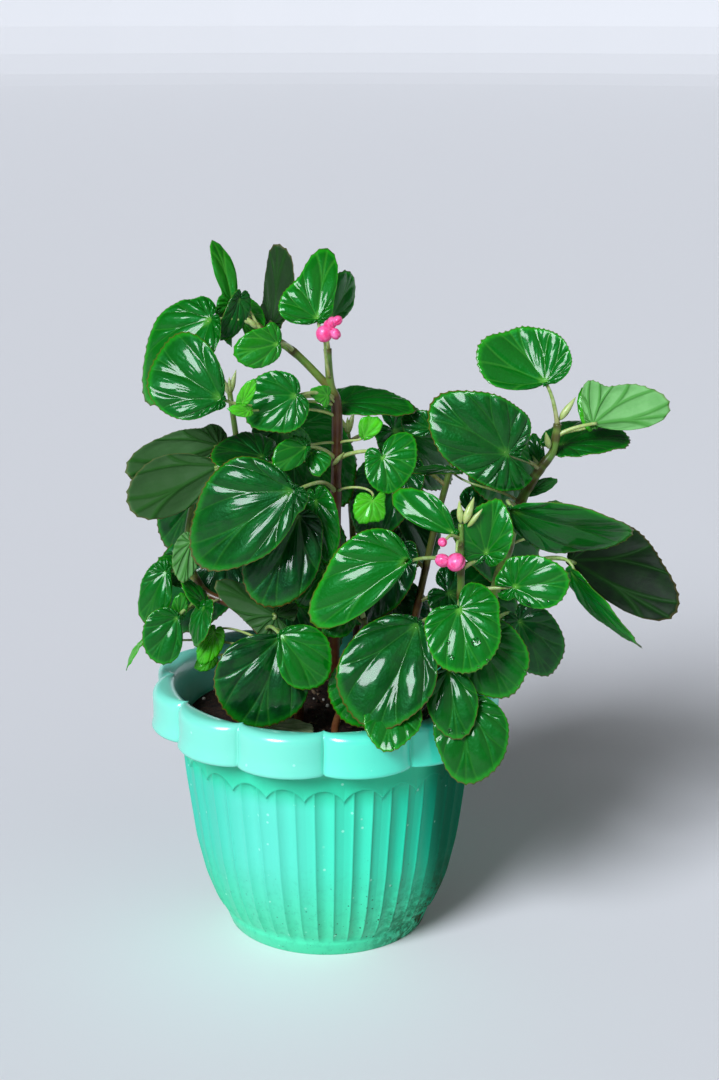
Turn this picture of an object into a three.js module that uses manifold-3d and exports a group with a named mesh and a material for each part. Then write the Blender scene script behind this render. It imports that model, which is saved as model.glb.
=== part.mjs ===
// Potted begonia, in millimetres, +Z up. The origin is the middle of the pot's base, and -Y faces the viewer.
import * as THREE from "three";
import Module from "manifold-3d";

const wasm = await Module();
wasm.setup();

const degrees = THREE.MathUtils.degToRad;
const mix = THREE.MathUtils.lerp;
const vec = (x, y, z) => new THREE.Vector3(x, y, z);
const FULL_TURN = 2 * Math.PI;

// Driving sizes of the pot
const POT_HEIGHT = 150;
const WALL = 2;
const FLOOR = 2.6;
const POT_STEPS = 96;
const FOOT = { radius: 58, top: 7.6, topRadius: 60.6 };
const BODY = [
  [0, 58.2],
  [10, 61.4],
  [20, 66.4],
  [32, 70.8],
  [55, 76.1],
  [95, 81.4],
  [126, 84.2],
  [142, 86],
];
const FLUTES = { count: 48, depth: 1.6, uneven: 0.3, bottom: 9.4 };
const ARCS = { count: 24, low: 105.5, rise: 7, ledge: 1.5 };
const RIM = { petals: 12, notchRadius: 94, petalRadius: 102, drop: 24, thick: 2.2, opening: 88 };
const DRAIN = { count: 6, radius: 4.5, ring: 36 };

// Driving sizes of the soil and of what grows in it
const SOIL = { top: 128, gap: 0.35, steps: 28, bumps: 2.2 };
const STEM_DEPTH = 30;
const HOLE_GAP = 0.35;
const SEAT_GAP = 0.35;
const BLADE = 0.66;
const PETIOLE = {
  foot: 1.9,
  tip: 1.25,
  smallLeaf: 20,
  smallScale: 0.65,
  rise: 0.12,
  ahead: 0.05,
  under: 0.35,
};
const MERGE_WITHIN = 0.08;

// The eye that the photo's places were read from: across and up are measured on the picture's plane through
// the origin, and back is the depth along +Y
const PITCH = degrees(16.3);
const SIGHT = vec(0, Math.cos(PITCH), -Math.sin(PITCH));
const PICTURE_UP = vec(0, Math.sin(PITCH), Math.cos(PITCH));
const EYE = vec(19.2, 0, 0).addScaledVector(SIGHT, -1200).addScaledVector(PICTURE_UP, 221.3);

function seen([across, up, back]) {
  const ray = vec(across, 0, 0).addScaledVector(PICTURE_UP, up).sub(EYE);
  return EYE.clone().addScaledVector(ray, (back - EYE.y) / ray.y);
}

// Seeded draws, so that every build is the same
function draws(seed) {
  let state = seed;
  return (low, high) => {
    state = (Math.imul(state, 1664525) + 1013904223) >>> 0;
    return low + ((high - low) * state) / 2 ** 32;
  };
}

// Solids
function solid(points, triangles) {
  const vertProperties = new Float32Array(points.flatMap((p) => [p.x, p.y, p.z]));
  const triVerts = new Uint32Array(triangles.flat());
  return new wasm.Manifold(new wasm.Mesh({ numProp: 3, vertProperties, triVerts }));
}

function meshOf(name, shape, color, roughness) {
  const { vertProperties, triVerts } = shape.getMesh();
  const geometry = new THREE.BufferGeometry();
  geometry.setAttribute("position", new THREE.BufferAttribute(vertProperties, 3));
  geometry.setIndex(new THREE.BufferAttribute(triVerts, 1));
  geometry.computeVertexNormals();
  const mesh = new THREE.Mesh(geometry, new THREE.MeshStandardMaterial({ color, roughness, metalness: 0 }));
  mesh.name = name;
  return mesh;
}

// A closed surface of rings, each ring a function of the angle that gives a point. The first and last rings
// are closed with a middle point
function ringed(rings, steps, start, end) {
  const points = [start];
  for (const ring of rings)
    for (let i = 0; i < steps; i++) points.push(ring((i * FULL_TURN) / steps));
  points.push(end);
  const last = points.length - 1;
  const at = (ring, i) => 1 + ring * steps + (i % steps);
  const triangles = [];
  for (let i = 0; i < steps; i++) {
    triangles.push([0, at(0, i + 1), at(0, i)]);
    for (let r = 0; r + 1 < rings.length; r++) {
      triangles.push([at(r, i), at(r, i + 1), at(r + 1, i + 1)]);
      triangles.push([at(r, i), at(r + 1, i + 1), at(r + 1, i)]);
    }
    triangles.push([at(rings.length - 1, i), at(rings.length - 1, i + 1), last]);
  }
  return solid(points, triangles);
}

// The angle runs from the side that faces the viewer
const around = (angle, radius, z) => vec(radius * Math.sin(angle), -radius * Math.cos(angle), z);

function along(profile, z) {
  const after = Math.max(1, profile.findIndex(([height]) => height >= z));
  const [z0, r0] = profile[after - 1];
  const [z1, r1] = profile[after];
  return mix(r0, r1, (z - z0) / (z1 - z0));
}

// Pot
function pot() {
  const petal = (angle) =>
    mix(RIM.notchRadius, RIM.petalRadius, Math.abs(Math.sin((angle * RIM.petals) / 2)) ** 0.6);
  // Hollow flutes meet in sharp edges, and every second one is shallower
  const flute = (angle) => {
    const wave = Math.cos((angle * FLUTES.count) / 2);
    const hollow = (Math.abs(wave) * (1 + FLUTES.uneven * wave)) / (1 + FLUTES.uneven);
    return FLUTES.depth * (1 - hollow);
  };
  const arc = (angle) => ARCS.low + ARCS.rise * Math.abs(Math.cos((angle * ARCS.count) / 2)) ** 0.7;
  const plain = (radius, z) => (angle) => around(angle, radius, z);
  const fluted = (z) => (angle) => around(angle, along(BODY, z) - 0.4 + flute(angle), z);
  const scalloped = (extra, lift) => (angle) =>
    around(angle, along(BODY, arc(angle)) + extra(angle), arc(angle) + lift);
  const band = (inset, z) => (angle) => around(angle, petal(angle) - inset, z);
  const bandFoot = POT_HEIGHT - RIM.drop;
  const rings = [
    plain(FOOT.radius, 0),
    plain(FOOT.topRadius, FOOT.top),
    ...[FLUTES.bottom, 20, 55].map(fluted),
    scalloped((angle) => flute(angle) - 0.4, -0.5),
    scalloped(() => ARCS.ledge, 0.5),
    plain(along(BODY, 141), 141),
    band(RIM.thick + 1.6, POT_HEIGHT - 4.5),
    band(RIM.thick, bandFoot),
    band(0.3, bandFoot),
    band(0.8, POT_HEIGHT - 5),
    band(5.4, POT_HEIGHT),
    plain(RIM.opening, POT_HEIGHT - 2.4),
    plain(along(BODY, 141) - WALL, 139),
    plain(along(BODY, 32) - WALL, 32),
    plain(FOOT.radius - WALL, FLOOR),
  ];
  const hole = ringed(
    [(a) => around(a, DRAIN.radius, -1), (a) => around(a, DRAIN.radius, FLOOR + 1)],
    8,
    vec(0, 0, -1),
    vec(0, 0, FLOOR + 1),
  );
  let shape = ringed(rings, POT_STEPS, vec(0, 0, 0), vec(0, 0, FLOOR));
  for (let i = 0; i < DRAIN.count; i++) {
    const place = around(((i + 0.5) * FULL_TURN) / DRAIN.count, DRAIN.ring, 0);
    shape = shape.subtract(hole.translate(place.toArray()));
  }
  return meshOf("pot", shape, 0x4fe3b4, 0.35);
}

// Soil: the pot's inside, with a lumpy top and a plain hole for each stem
function soil(holes) {
  const random = draws(7);
  const inner = (z) => mix(along(BODY, 32), along(BODY, 141), (z - 32) / 107) - WALL - SOIL.gap;
  const bump = () => random(-SOIL.bumps, SOIL.bumps);
  const level = (radius, z) => (angle) => around(angle, radius, z);
  const lumpy = (radius) => (angle) => around(angle, radius, SOIL.top + bump());
  const rings = [
    level(FOOT.radius - WALL - 1, FLOOR + SOIL.gap),
    level(inner(32) - 0.2, 32),
    level(inner(SOIL.top - 4), SOIL.top - 4),
    ...[68, 44, 20].map(lumpy),
  ];
  let shape = ringed(rings, SOIL.steps, vec(0, 0, FLOOR + SOIL.gap), vec(0, 0, SOIL.top + 1));
  for (const { x, y, radius } of holes) {
    const level = (z) => (angle) => around(angle, (radius + HOLE_GAP) / Math.cos(Math.PI / 6), z);
    const [bottom, top] = [SOIL.top - STEM_DEPTH - HOLE_GAP, SOIL.top + 12];
    const hole = ringed([level(bottom), level(top)], 6, vec(0, 0, bottom), vec(0, 0, top));
    shape = shape.subtract(hole.translate(x, y, 0));
  }
  return meshOf("soil", shape, 0x2b1c14, 0.95);
}

// A tube through the points, with a radius that tapers from the first to the last. Each ring's first corner
// is carried along from the ring before it
function tube(path, footRadius, tipRadius, sides) {
  const points = [];
  const last = path.length - 1;
  let normal = vec(0.3, 1, 0.2);
  for (let i = 0; i <= last; i++) {
    const way = path[Math.min(i + 1, last)].clone().sub(path[Math.max(i - 1, 0)]).normalize();
    normal = normal.clone().addScaledVector(way, -normal.dot(way)).normalize();
    const binormal = way.clone().cross(normal);
    const radius = mix(footRadius, tipRadius, i / last);
    for (let k = 0; k < sides; k++) {
      const angle = (k * FULL_TURN) / sides;
      const corner = path[i].clone().addScaledVector(normal, radius * Math.cos(angle));
      points.push(corner.addScaledVector(binormal, radius * Math.sin(angle)));
    }
  }
  const at = (ring, k) => ring * sides + (k % sides);
  const triangles = [];
  for (let k = 1; k + 1 < sides; k++) {
    triangles.push([at(0, 0), at(0, k + 1), at(0, k)]);
    triangles.push([at(last, 0), at(last, k), at(last, k + 1)]);
  }
  for (let i = 0; i < last; i++)
    for (let k = 0; k < sides; k++) {
      triangles.push([at(i, k), at(i, k + 1), at(i + 1, k + 1)]);
      triangles.push([at(i, k), at(i + 1, k + 1), at(i + 1, k)]);
    }
  return solid(points, triangles);
}

// Leaf blade. Its outline is a circle seen from the stalk's end, with a notch behind the stalk, stretched to
// the leaf's width. A leaf with an outline of its own gives its reach instead: the mm from the stalk's end to
// the margin at every 30 degrees round from the tip. Heights, as parts of the length: cup lifts the whole
// margin, fold lifts both sides from the midrib, droop bends the tip down, and wave ripples the margin.
// twist turns the blade about its midrib
const NOTCH_HALF = 0.2;

function ownReach(angle, reach) {
  const turn = (angle / (2 * Math.PI) + 1) * reach.length;
  const low = Math.floor(turn);
  const part = turn - low;
  const [before, first, second, after] = [-1, 0, 1, 2].map((k) => reach[(low + k) % reach.length]);
  const bend = 1.5 * (first - second) + (after - before) / 2;
  const ease = before - 2.5 * first + 2 * second - after / 2;
  return first + (second - before) / 2 * part + ease * part ** 2 + bend * part ** 3;
}

function bladeRadius(angle, { heel, skew }) {
  const reach = (1 + heel) / 2;
  const ahead = (1 - heel) / 2;
  const aside = skew * reach;
  const behind = Math.PI - Math.abs(angle);
  const across = ahead * Math.sin(angle) - aside * Math.cos(angle);
  const round = ahead * Math.cos(angle) + aside * Math.sin(angle) + Math.sqrt(reach ** 2 - across ** 2);
  const notch = 1 - 0.45 * Math.exp(-((behind / 0.5) ** 2));
  const point = 1 + 0.05 * Math.exp(-((angle / 0.22) ** 2));
  return round * notch * point;
}

function bladeHeight(x, y, angle, { cup, fold, droop, wave, phase }) {
  const out = x * x + y * y;
  const ripple = wave * out * Math.sin(5 * angle + phase);
  return cup * out + fold * (Math.sqrt(y * y + 0.004) - 0.063) - droop * Math.max(0, x) ** 2 + ripple;
}

function bladeFrame(base, tip, towards, { facing, roll }) {
  const axis = tip.clone().sub(base);
  const length = axis.length();
  axis.normalize();
  const way = facing ? vec(...facing) : towards;
  const normal = way.clone().addScaledVector(axis, -way.dot(axis)).normalize();
  normal.applyAxisAngle(axis, degrees(roll));
  const side = normal.clone().cross(axis);
  return { axis, side, normal, length };
}

const LEAF_DEFAULTS = {
  roll: 0,
  twist: 0,
  heel: 0.28,
  skew: 0.12,
  cup: -0.05,
  fold: 0.1,
  droop: 0.1,
  wave: 0.025,
  phase: 0,
};

function blade(base, { axis, side, normal, length }, width, form) {
  const stretch = form.reach ? 1 : width / 2 / (((1 + form.heel) / 2) * length);
  const steps = width > 60 ? 20 : width > 44 ? 16 : width > 16 ? 12 : 8;
  const place = (fraction, angle, tooth) => {
    const edge = form.reach ? ownReach(angle, form.reach) / length : bladeRadius(angle, form);
    const radius = fraction * edge * tooth;
    const x = radius * Math.cos(angle);
    const y = radius * Math.sin(angle) * stretch;
    const height = bladeHeight(x, y, angle, form);
    const turn = degrees(form.twist) * x;
    return base
      .clone()
      .addScaledVector(axis, x * length)
      .addScaledVector(side, (y * Math.cos(turn) - height * Math.sin(turn)) * length)
      .addScaledVector(normal, (y * Math.sin(turn) + height * Math.cos(turn)) * length);
  };
  const span = Math.PI - NOTCH_HALF;
  const middle = [place(0, 0, 1)];
  const few = steps / 4;
  for (let i = 0; i <= few; i++) middle.push(place(0.5, mix(-span, span, i / few), 1));
  for (let i = 0; i <= steps; i++)
    middle.push(place(1, mix(-span, span, i / steps), i % 2 ? 1.03 : 0.97));
  const inner = (i) => 1 + i;
  const outer = (i) => 2 + few + i;
  const face = [];
  for (let i = 0; i < few; i++) {
    face.push([0, inner(i), inner(i + 1)]);
    face.push([inner(i), outer(4 * i), outer(4 * i + 1)]);
    face.push([inner(i), outer(4 * i + 1), outer(4 * i + 2)]);
    face.push([inner(i), outer(4 * i + 2), inner(i + 1)]);
    face.push([inner(i + 1), outer(4 * i + 2), outer(4 * i + 3)]);
    face.push([inner(i + 1), outer(4 * i + 3), outer(4 * i + 4)]);
  }
  const rim = [0, inner(0)];
  for (let i = 0; i <= steps; i++) rim.push(outer(i));
  rim.push(inner(few));

  // Both faces are the middle surface, moved half the blade's thickness along its normals
  const geometry = new THREE.BufferGeometry().setFromPoints(middle).setIndex(face.flat());
  geometry.computeVertexNormals();
  const normals = geometry.getAttribute("normal");
  const moved = (by) =>
    middle.map((p, i) => p.clone().addScaledVector(vec().fromBufferAttribute(normals, i), by));
  const under = middle.length;
  const triangles = [...face, ...face.map(([a, b, c]) => [a + under, c + under, b + under])];
  rim.forEach((a, i) => {
    const b = rim[(i + 1) % rim.length];
    triangles.push([a, b + under, b], [a, a + under, b + under]);
  });
  return solid([...moved(BLADE / 2), ...moved(-BLADE / 2)], triangles);
}

// A leaf: its blade, and a stalk that leaves the nearest stem and comes up to the blade from behind
function leaf(base, tip, towards, width, options, stems) {
  const form = { ...LEAF_DEFAULTS, ...options };
  const frame = bladeFrame(base, tip, towards, form);
  const { axis, normal, length } = frame;
  let start;
  let nearest = Infinity;
  for (const { curve } of stems)
    for (let i = 8; i <= 40; i++) {
      const point = curve.getPoint(i / 40);
      const distance = point.distanceTo(base) + 1.2 * Math.max(0, point.z - base.z + 8);
      if (distance < nearest) [nearest, start] = [distance, point];
    }
  const reach = start.distanceTo(base);
  const small = width <= PETIOLE.smallLeaf;
  const size = small ? PETIOLE.smallScale : 1;
  const approach = axis.clone().multiplyScalar(-0.75).addScaledVector(normal, -0.65).normalize();
  const curve = new THREE.CubicBezierCurve3(
    start,
    start.clone().lerp(base, 0.25).add(vec(0, 0, reach * PETIOLE.rise)),
    base.clone().addScaledVector(approach, reach * 0.35),
    base
      .clone()
      .addScaledVector(axis, length * PETIOLE.ahead)
      .addScaledVector(normal, -PETIOLE.under * PETIOLE.tip * size),
  );
  const stalk = tube(curve.getPoints(small ? 2 : 3), PETIOLE.foot * size, PETIOLE.tip * size, 3);
  return [blade(base, frame, width, form), stalk];
}

// A leafy stem: its stems, and its leaves as base, tip, way the blade faces, width and bend
function stemBodies({ stems }) {
  return stems.map(({ path, foot, tip }) => {
    const curve = new THREE.CatmullRomCurve3(path.map((p) => (p.isVector3 ? p : seen(p))));
    return { curve, shape: tube(curve.getPoints(2 * path.length - 2), foot, tip, 5) };
  });
}

const towardsEye = (point) => EYE.clone().sub(point).normalize();

function leavesOf({ leaves, worldLeaves = [] }) {
  const shown = leaves.map(([base, tip, width, options]) => {
    const from = seen(base);
    return [from, seen(tip), towardsEye(from), width, options];
  });
  return [...shown, ...worldLeaves];
}

function leafyStem(plan) {
  const bodies = stemBodies(plan);
  const parts = leavesOf(plan).flatMap((values) => leaf(...values, bodies));
  for (const stalk of plan.stalks ?? []) parts.push(budStalk(stalk));
  const shape = wasm.Manifold.union([...bodies.map((body) => body.shape), ...parts]).simplify(MERGE_WITHIN);
  return meshOf(plan.name, shape, plan.color, 0.35);
}

// A flower stalk ends just under the bud that it carries
function budStalk({ path, bud }) {
  const [across, up, back, radius] = bud;
  const centre = seen([across, up, back]);
  const points = path.map(seen);
  const last = points.at(-1).clone().sub(centre).normalize();
  points.push(centre.clone().addScaledVector(last, radius + SEAT_GAP));
  return tube(points, 1.2, 0.8, 4);
}

// A cluster of closed buds: flattened balls that run into each other
function buds(name, lobes, color) {
  const shapes = lobes.map(([across, up, back, radius]) => {
    const centre = seen([across, up, back]);
    const rings = [1, 2, 3].map((k) => {
      const tilt = (k * Math.PI) / 4;
      return (a) => around(a, radius * Math.sin(tilt), -radius * Math.cos(tilt) * 0.95);
    });
    const ball = ringed(rings, 7, vec(0, 0, -radius * 0.95), vec(0, 0, radius * 0.95));
    return ball.translate(centre.toArray());
  });
  return meshOf(name, wasm.Manifold.union(shapes), color, 0.4);
}

// The foot of a stem stands upright in its hole
function rooted({ foot }, path) {
  const heights = [SOIL.top - STEM_DEPTH, SOIL.top - 4, SOIL.top + 9];
  return [...heights.map((z) => vec(foot.x, foot.y, z)), ...path];
}

// Stems that the photo shows. Each leaf: stalk end and tip as across, up and back, then width and bend
const MAIN_FOOT = { x: 4, y: 16, radius: 4.4 };
const mainStem = {
  name: "main_stem",
  color: 0x1f7a2a,
  foot: MAIN_FOOT,
  stems: [
    {
      path: rooted({ foot: MAIN_FOOT }, [[5, 250, 12], [5, 305, 8], [2, 314, 8], [0, 336, 8]]),
      foot: 4.4,
      tip: 2.2,
    },
    { path: [[2, 312, 8], [-20, 334, 12], [-35, 344, 16], [-42, 350, 18]], foot: 2.6, tip: 1.8 },
  ],
  leaves: [
    [
      [-57, 363, 24],
      [-64, 400, 30],
      36,
      { roll: 15, twist: 20, reach: [37, 11, 9, 10, 13, 19, 26, 24, 19, 12, 9, 9] },
    ],
    [
      [-70, 354, 4],
      [-113, 315, -12],
      38,
      { roll: 30, cup: -0.2, droop: 0.2, reach: [56, 34, 18, 9, 6, 5, 5, 8, 14, 18, 28, 40] },
    ],
    [[-64, 306, -24], [-107, 333, -14], 54, { reach: [45, 39, 24, 9, 6, 5, 4, 3, 3, 4, 16, 42] }],
    [[-34, 350, 36], [-24, 396, 48], 42, { roll: 130, reach: [45, 30, 12, 8, 6, 6, 5, 7, 8, 10, 16, 22] }],
    [[-6, 354, 6], [-1, 396, 20], 36, { roll: -6, reach: [42, 26, 24, 21, 8, 3, 2, 3, 4, 5, 9, 16] }],
    [[2, 355, 22], [18, 380, 34], 28, { roll: 30, reach: [29, 24, 16, 8, 4, 3, 3, 3, 4, 5, 8, 17] }],
    [[-30, 339, -8], [-54, 333, -16], 24, { reach: [24, 19, 11, 6, 3, 2, 2, 3, 7, 12, 12, 19] }],
    [[-19, 308, -18], [-45, 293, -24], 36, { roll: 12, reach: [30, 23, 19, 13, 8, 4, 3, 5, 10, 16, 23, 28] }],
    [[-51, 304, -30], [-44, 316, -34], 8, { fold: 0.2 }],
    [[-47, 299, -28], [-58, 300, -34], 7, { fold: 0.2 }],
    [[0, 308, -2], [-10, 310, -8], 10, { reach: [11, 8, 6, 7, 4, 2, 2, 2, 3, 5, 6, 8] }],
    [[7, 303, 24], [49, 306, 20], 31, { roll: -58 }],
    [[-13, 277, -14], [-29, 265, -28], 21, { reach: [22, 12, 4, 3, 3, 3, 3, 3, 5, 7, 11, 18] }],
    [[-13, 279, -10], [-19, 288, -14], 9, {}],
    [[-10, 274, -6], [-7, 260, -18], 14, { reach: [15, 14, 12, 4, 3, 2, 2, 2, 2, 3, 4, 8] }],
    [
      [-21, 251, -44],
      [-75, 215, -54],
      64,
      { roll: 13, reach: [65, 42, 17, 12, 10, 7, 5, 4, 5, 16, 39, 53] },
    ],
    [[-7, 245, -16], [-3, 209, -30], 22, { roll: 20 }],
    [[33, 271, -14], [39, 248, -26], 31, { reach: [21, 19, 19, 20, 20, 11, 3, 8, 10, 10, 13, 18] }],
    [[22, 283, -4], [27, 295, -6], 12, { reach: [12.5, 11, 5, 3, 2, 2, 2, 2, 2, 3, 6, 13] }],
    [[27, 245, -32], [20, 233, -38], 19, { reach: [14, 12, 12, 8, 7, 8, 5, 2, 4, 8, 10, 12] }],
    [[-17, 236, -26], [-40, 182, -52], 46, { reach: [53, 40, 21, 14, 9, 6, 4, 6, 8, 12, 22, 40] }],
    [[-53, 366, 14], [-61, 342, 6], 15, { roll: -30, fold: 0.3 }],
    [[-39, 271, -8], [-71, 280, -14], 36, { roll: 50, reach: [28, 30, 20, 10, 6, 4, 3, 5, 15, 18, 20, 22] }],
  ],
  stalks: [{ path: [[1, 319, 6], [-1, 332, 2]], bud: [-2, 345, -6, 4.8] }],
};

const LEFT_FOOT = { x: -16, y: -12, radius: 3.4 };
const leftStem = {
  name: "left_stem",
  color: 0x226f2c,
  foot: LEFT_FOOT,
  stems: [
    {
      path: rooted({ foot: LEFT_FOOT }, [
        [-39, 165, -16],
        [-57, 182, -10],
        [-74, 191, -4],
        [-84, 215, 2],
        [-80, 250, 8],
      ]),
      foot: 3.4,
      tip: 1.8,
    },
  ],
  leaves: [
    [[-65, 278, 16], [-119, 260, 2], 42, { roll: 180, reach: [55, 30, 15, 13, 10, 7, 4, 5, 5, 5, 6, 8] }],
    [[-65, 266, 4], [-113, 239, -10], 40, { roll: 180, reach: [57, 41, 10, 7, 6, 5, 4, 4, 4, 5, 9, 24] }],
    [[-82, 220, -8], [-87, 197, -16], 16, { roll: 170 }],
    [[-97, 202, -4], [-112, 173, -12], 22, { roll: 20, reach: [31, 21, 7, 4, 3, 4, 6, 8, 8, 9, 12, 19] }],
    [[-85, 199, 12], [-99, 212, 14], 22, { roll: 40 }],
    [[-90, 175, -22], [-107, 149, -32], 30, { reach: [28, 24, 4, 2, 2, 2, 2, 3, 5, 10, 16, 22] }],
    [[-112, 159, -14], [-123, 146, -18], 14, { roll: 78 }],
    [[-89, 176, -16], [-87, 188, -18], 9, {}],
    [[-73, 182, -12], [-84, 197, -18], 14, { roll: 50 }],
    [[-74, 181, -20], [-82, 160, -30], 18, { roll: 50 }],
    [[-68, 166, -18], [-76, 148, -26], 14, {}],
    [[-69, 151, -10], [-79, 145, -14], 10, {}],
    [
      [-31, 176, -26],
      [-60, 193, -16],
      44,
      { roll: 180, reach: [37, 7, 4, 6, 13, 12, 10, 11, 12, 14, 15, 21] },
    ],
    [[-28, 164, -58], [-3, 132, -72], 37, { reach: [35, 30, 21, 9, 4, 3, 2, 2, 2, 3, 5, 26] }],
    [[-28, 163, -46], [-44, 108, -68], 53, { reach: [51, 42, 22, 8, 4, 3, 2, 2, 3, 6, 32, 48] }],
  ],
};

const FLOWER_FOOT = { x: 46, y: -20, radius: 3.6 };
const flowerStem = {
  name: "flower_stem",
  color: 0x1f7a2a,
  foot: FLOWER_FOOT,
  stems: [
    {
      path: rooted({ foot: FLOWER_FOOT }, [[80, 172, -38], [80, 190, -44], [80, 210, -46], [80, 231, -46]]),
      foot: 3.6,
      tip: 1.6,
    },
  ],
  leaves: [
    [[49, 209, -60], [-7, 171, -72], 50, { roll: 10, reach: [60, 8, 3, 2, 2, 2, 2, 2, 4, 20, 33, 45] }],
    [[76, 225, -48], [40, 245, -40], 32, { reach: [39, 4, 3, 2, 2, 2, 2, 2, 3, 3, 5, 26] }],
    [[95, 213, -42], [102, 243, -44], 28, { fold: 0.45 }],
    [[79, 180, -72], [87, 141, -94], 46, { reach: [34, 31, 23, 21, 19, 15, 3, 3, 6, 17, 24, 32] }],
    [[112, 193, -54], [144, 197, -66], 37, { reach: [30, 25, 19, 16, 12, 12, 11, 10, 8, 6, 13, 25] }],
    [[54, 171, -70], [29, 109, -104], 54, { roll: 10, reach: [60, 41, 12, 4, 3, 3, 3, 4, 6, 15, 33, 55] }],
  ],
  stalks: [
    { path: [[80, 218, -46], [78, 220, -54]], bud: [77, 208, -62, 5.4] },
    { path: [[80, 222, -46], [74, 224, -52]], bud: [69, 220, -58, 2.7] },
  ],
};

const RIGHT_FOOT = { x: 52, y: 14, radius: 4 };
const rightStem = {
  name: "right_stem",
  color: 0x1f7a2a,
  foot: RIGHT_FOOT,
  stems: [
    {
      path: rooted({ foot: RIGHT_FOOT }, [
        [92, 173, 2],
        [106, 209, 0],
        [114, 239, 0],
        [121, 254, 0],
        [129, 266, 0],
        [135, 274, 0],
        [137, 283, 0],
        [138, 291, 0],
      ]),
      foot: 4,
      tip: 2.2,
    },
  ],
  leaves: [
    [
      [131, 316, 0],
      [110, 343, 20],
      60,
      {
        roll: 10,
        cup: 0.2,
        fold: 0.1,
        droop: 0,
        reach: [36, 41, 30, 4, 3, 2, 2, 3, 9, 18, 25, 30],
      },
    ],
    [[108, 273, -22], [64, 301, -22], 52, { reach: [49, 38, 25, 21, 21, 21, 18, 8, 12, 22, 29, 39] }],
    [[159, 291, 2], [203, 296, 4], 33, { roll: 180, reach: [41, 4, 3, 3, 2, 2, 3, 5, 9, 24, 23, 35] }],
    [[140, 278, 10], [180, 289, 18], 38, { roll: -55 }],
    [[109, 240, -32], [180, 215, -42], 47, { roll: 50, reach: [69, 38, 7, 4, 3, 2, 2, 2, 3, 5, 19, 46] }],
    [[146, 209, 8], [201, 177, 4], 50, { roll: 180, reach: [64, 8, 4, 3, 3, 3, 3, 4, 8, 18, 39, 52] }],
    [[146, 203, -26], [176, 153, -34], 30, { roll: 68, heel: 0.06 }],
    [[133, 230, 14], [137, 245, 16], 18, { roll: 180 }],
    [[127, 269, 16], [124, 285, 20], 9, {}],
    [[121, 250, 4], [138, 257, 6], 8, {}],
    [[62, 288, 26], [45, 296, 28], 24, { reach: [18, 15, 8, 4, 3, 3, 3, 3, 6, 9, 10, 13] }],
    [[75, 263, 22], [51, 266, 20], 20, { roll: 75 }],
    [[159, 292, 6], [155, 313, 10], 12, {}],
  ],
};

const FRONT_FOOT = { x: 6, y: -46, radius: 3 };
const frontStem = {
  name: "front_stem",
  color: 0x226f2c,
  foot: FRONT_FOOT,
  stems: [
    { path: rooted({ foot: FRONT_FOOT }, [[22, 150, -48], [22, 175, -44]]), foot: 3, tip: 1.8 },
  ],
  leaves: [
    [[31, 145, -58], [4, 112, -70], 48, { reach: [35, 33, 28, 20, 12, 8, 4, 8, 12, 16, 21, 30] }],
    [[38, 125, -82], [36, 95, -107], 32, { reach: [29, 25, 20, 14, 10, 8, 4, 8, 10, 13, 16, 23] }],
    [[10, 178, -46], [-1, 166, -54], 18, {}],
    [[-2, 203, -24], [-17, 182, -30], 20, {}],
  ],
};

const CORNER_FOOT = { x: 50, y: -50, radius: 3 };
const cornerStem = {
  name: "corner_stem",
  color: 0x226f2c,
  foot: CORNER_FOOT,
  stems: [
    { path: rooted({ foot: CORNER_FOOT }, [[80, 140, -52], [92, 160, -50]]), foot: 3, tip: 1.8 },
  ],
  leaves: [
    [[88, 164, -62], [110, 129, -80], 43, { reach: [37, 34, 24, 16, 12, 10, 5, 9, 12, 14, 22, 31] }],
    [[73, 144, -72], [78, 101, -94], 32, { reach: [38, 26, 11, 6, 4, 3, 2, 3, 4, 6, 12, 27] }],
    [[83, 123, -76], [83, 76, -98], 43, { reach: [42, 37, 27, 16, 9, 6, 3, 5, 7, 12, 20, 30] }],
    [[115, 173, 4], [132, 140, -4], 34, {}],
  ],
};

// Stems behind, which the photo hides: their leaves leave them to the left and the right by turns, hang a
// little and face the light in front
const BACK = {
  leaves: 5,
  lowest: 172,
  step: 25,
  stalk: [18, 30],
  length: [42, 56],
  forward: [-0.4, 0.2],
  dip: [0.5, 1.1],
};
const LIGHT = vec(0, -0.8, 0.6);

function backStem(name, foot, lean, height, seed) {
  const random = draws(seed);
  const rise = (z) => ((z - SOIL.top) / (height - SOIL.top)) ** 1.4;
  const at = (z) => vec(foot.x + lean[0] * rise(z), foot.y + lean[1] * rise(z), z);
  const worldLeaves = [];
  for (let i = 0; i < BACK.leaves; i++) {
    const stalkZ = Math.min(BACK.lowest + i * BACK.step, height - 12);
    const way = vec((-1) ** i, random(...BACK.forward), 0).normalize();
    const base = at(stalkZ).addScaledVector(way, random(...BACK.stalk)).add(vec(0, 0, random(6, 14)));
    const length = random(...BACK.length);
    const dip = random(...BACK.dip);
    const tip = base
      .clone()
      .addScaledVector(way, length * Math.cos(dip))
      .add(vec(0, 0, -length * Math.sin(dip)));
    const facing = LIGHT.clone().addScaledVector(way, 0.25).normalize();
    const options = { skew: random(-0.2, 0.2), phase: random(0, FULL_TURN) };
    worldLeaves.push([base, tip, facing, length * random(0.9, 1.05), options]);
  }
  const path = [0.3, 0.65, 1].map((part) => at(mix(SOIL.top, height, part)));
  const stems = [{ path: rooted({ foot }, path), foot: foot.radius, tip: 1.8 }];
  return { name, color: 0x1f6a2a, foot, stems, leaves: [], worldLeaves };
}

const backStems = [
  backStem("back_left_stem", { x: -38, y: 36, radius: 3.4 }, [-20, 40], 300, 9),
  backStem("back_middle_stem", { x: 18, y: 58, radius: 3.4 }, [-6, 34], 272, 65),
  backStem("back_right_stem", { x: 48, y: 46, radius: 3.4 }, [34, 16], 290, 130),
];

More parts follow.
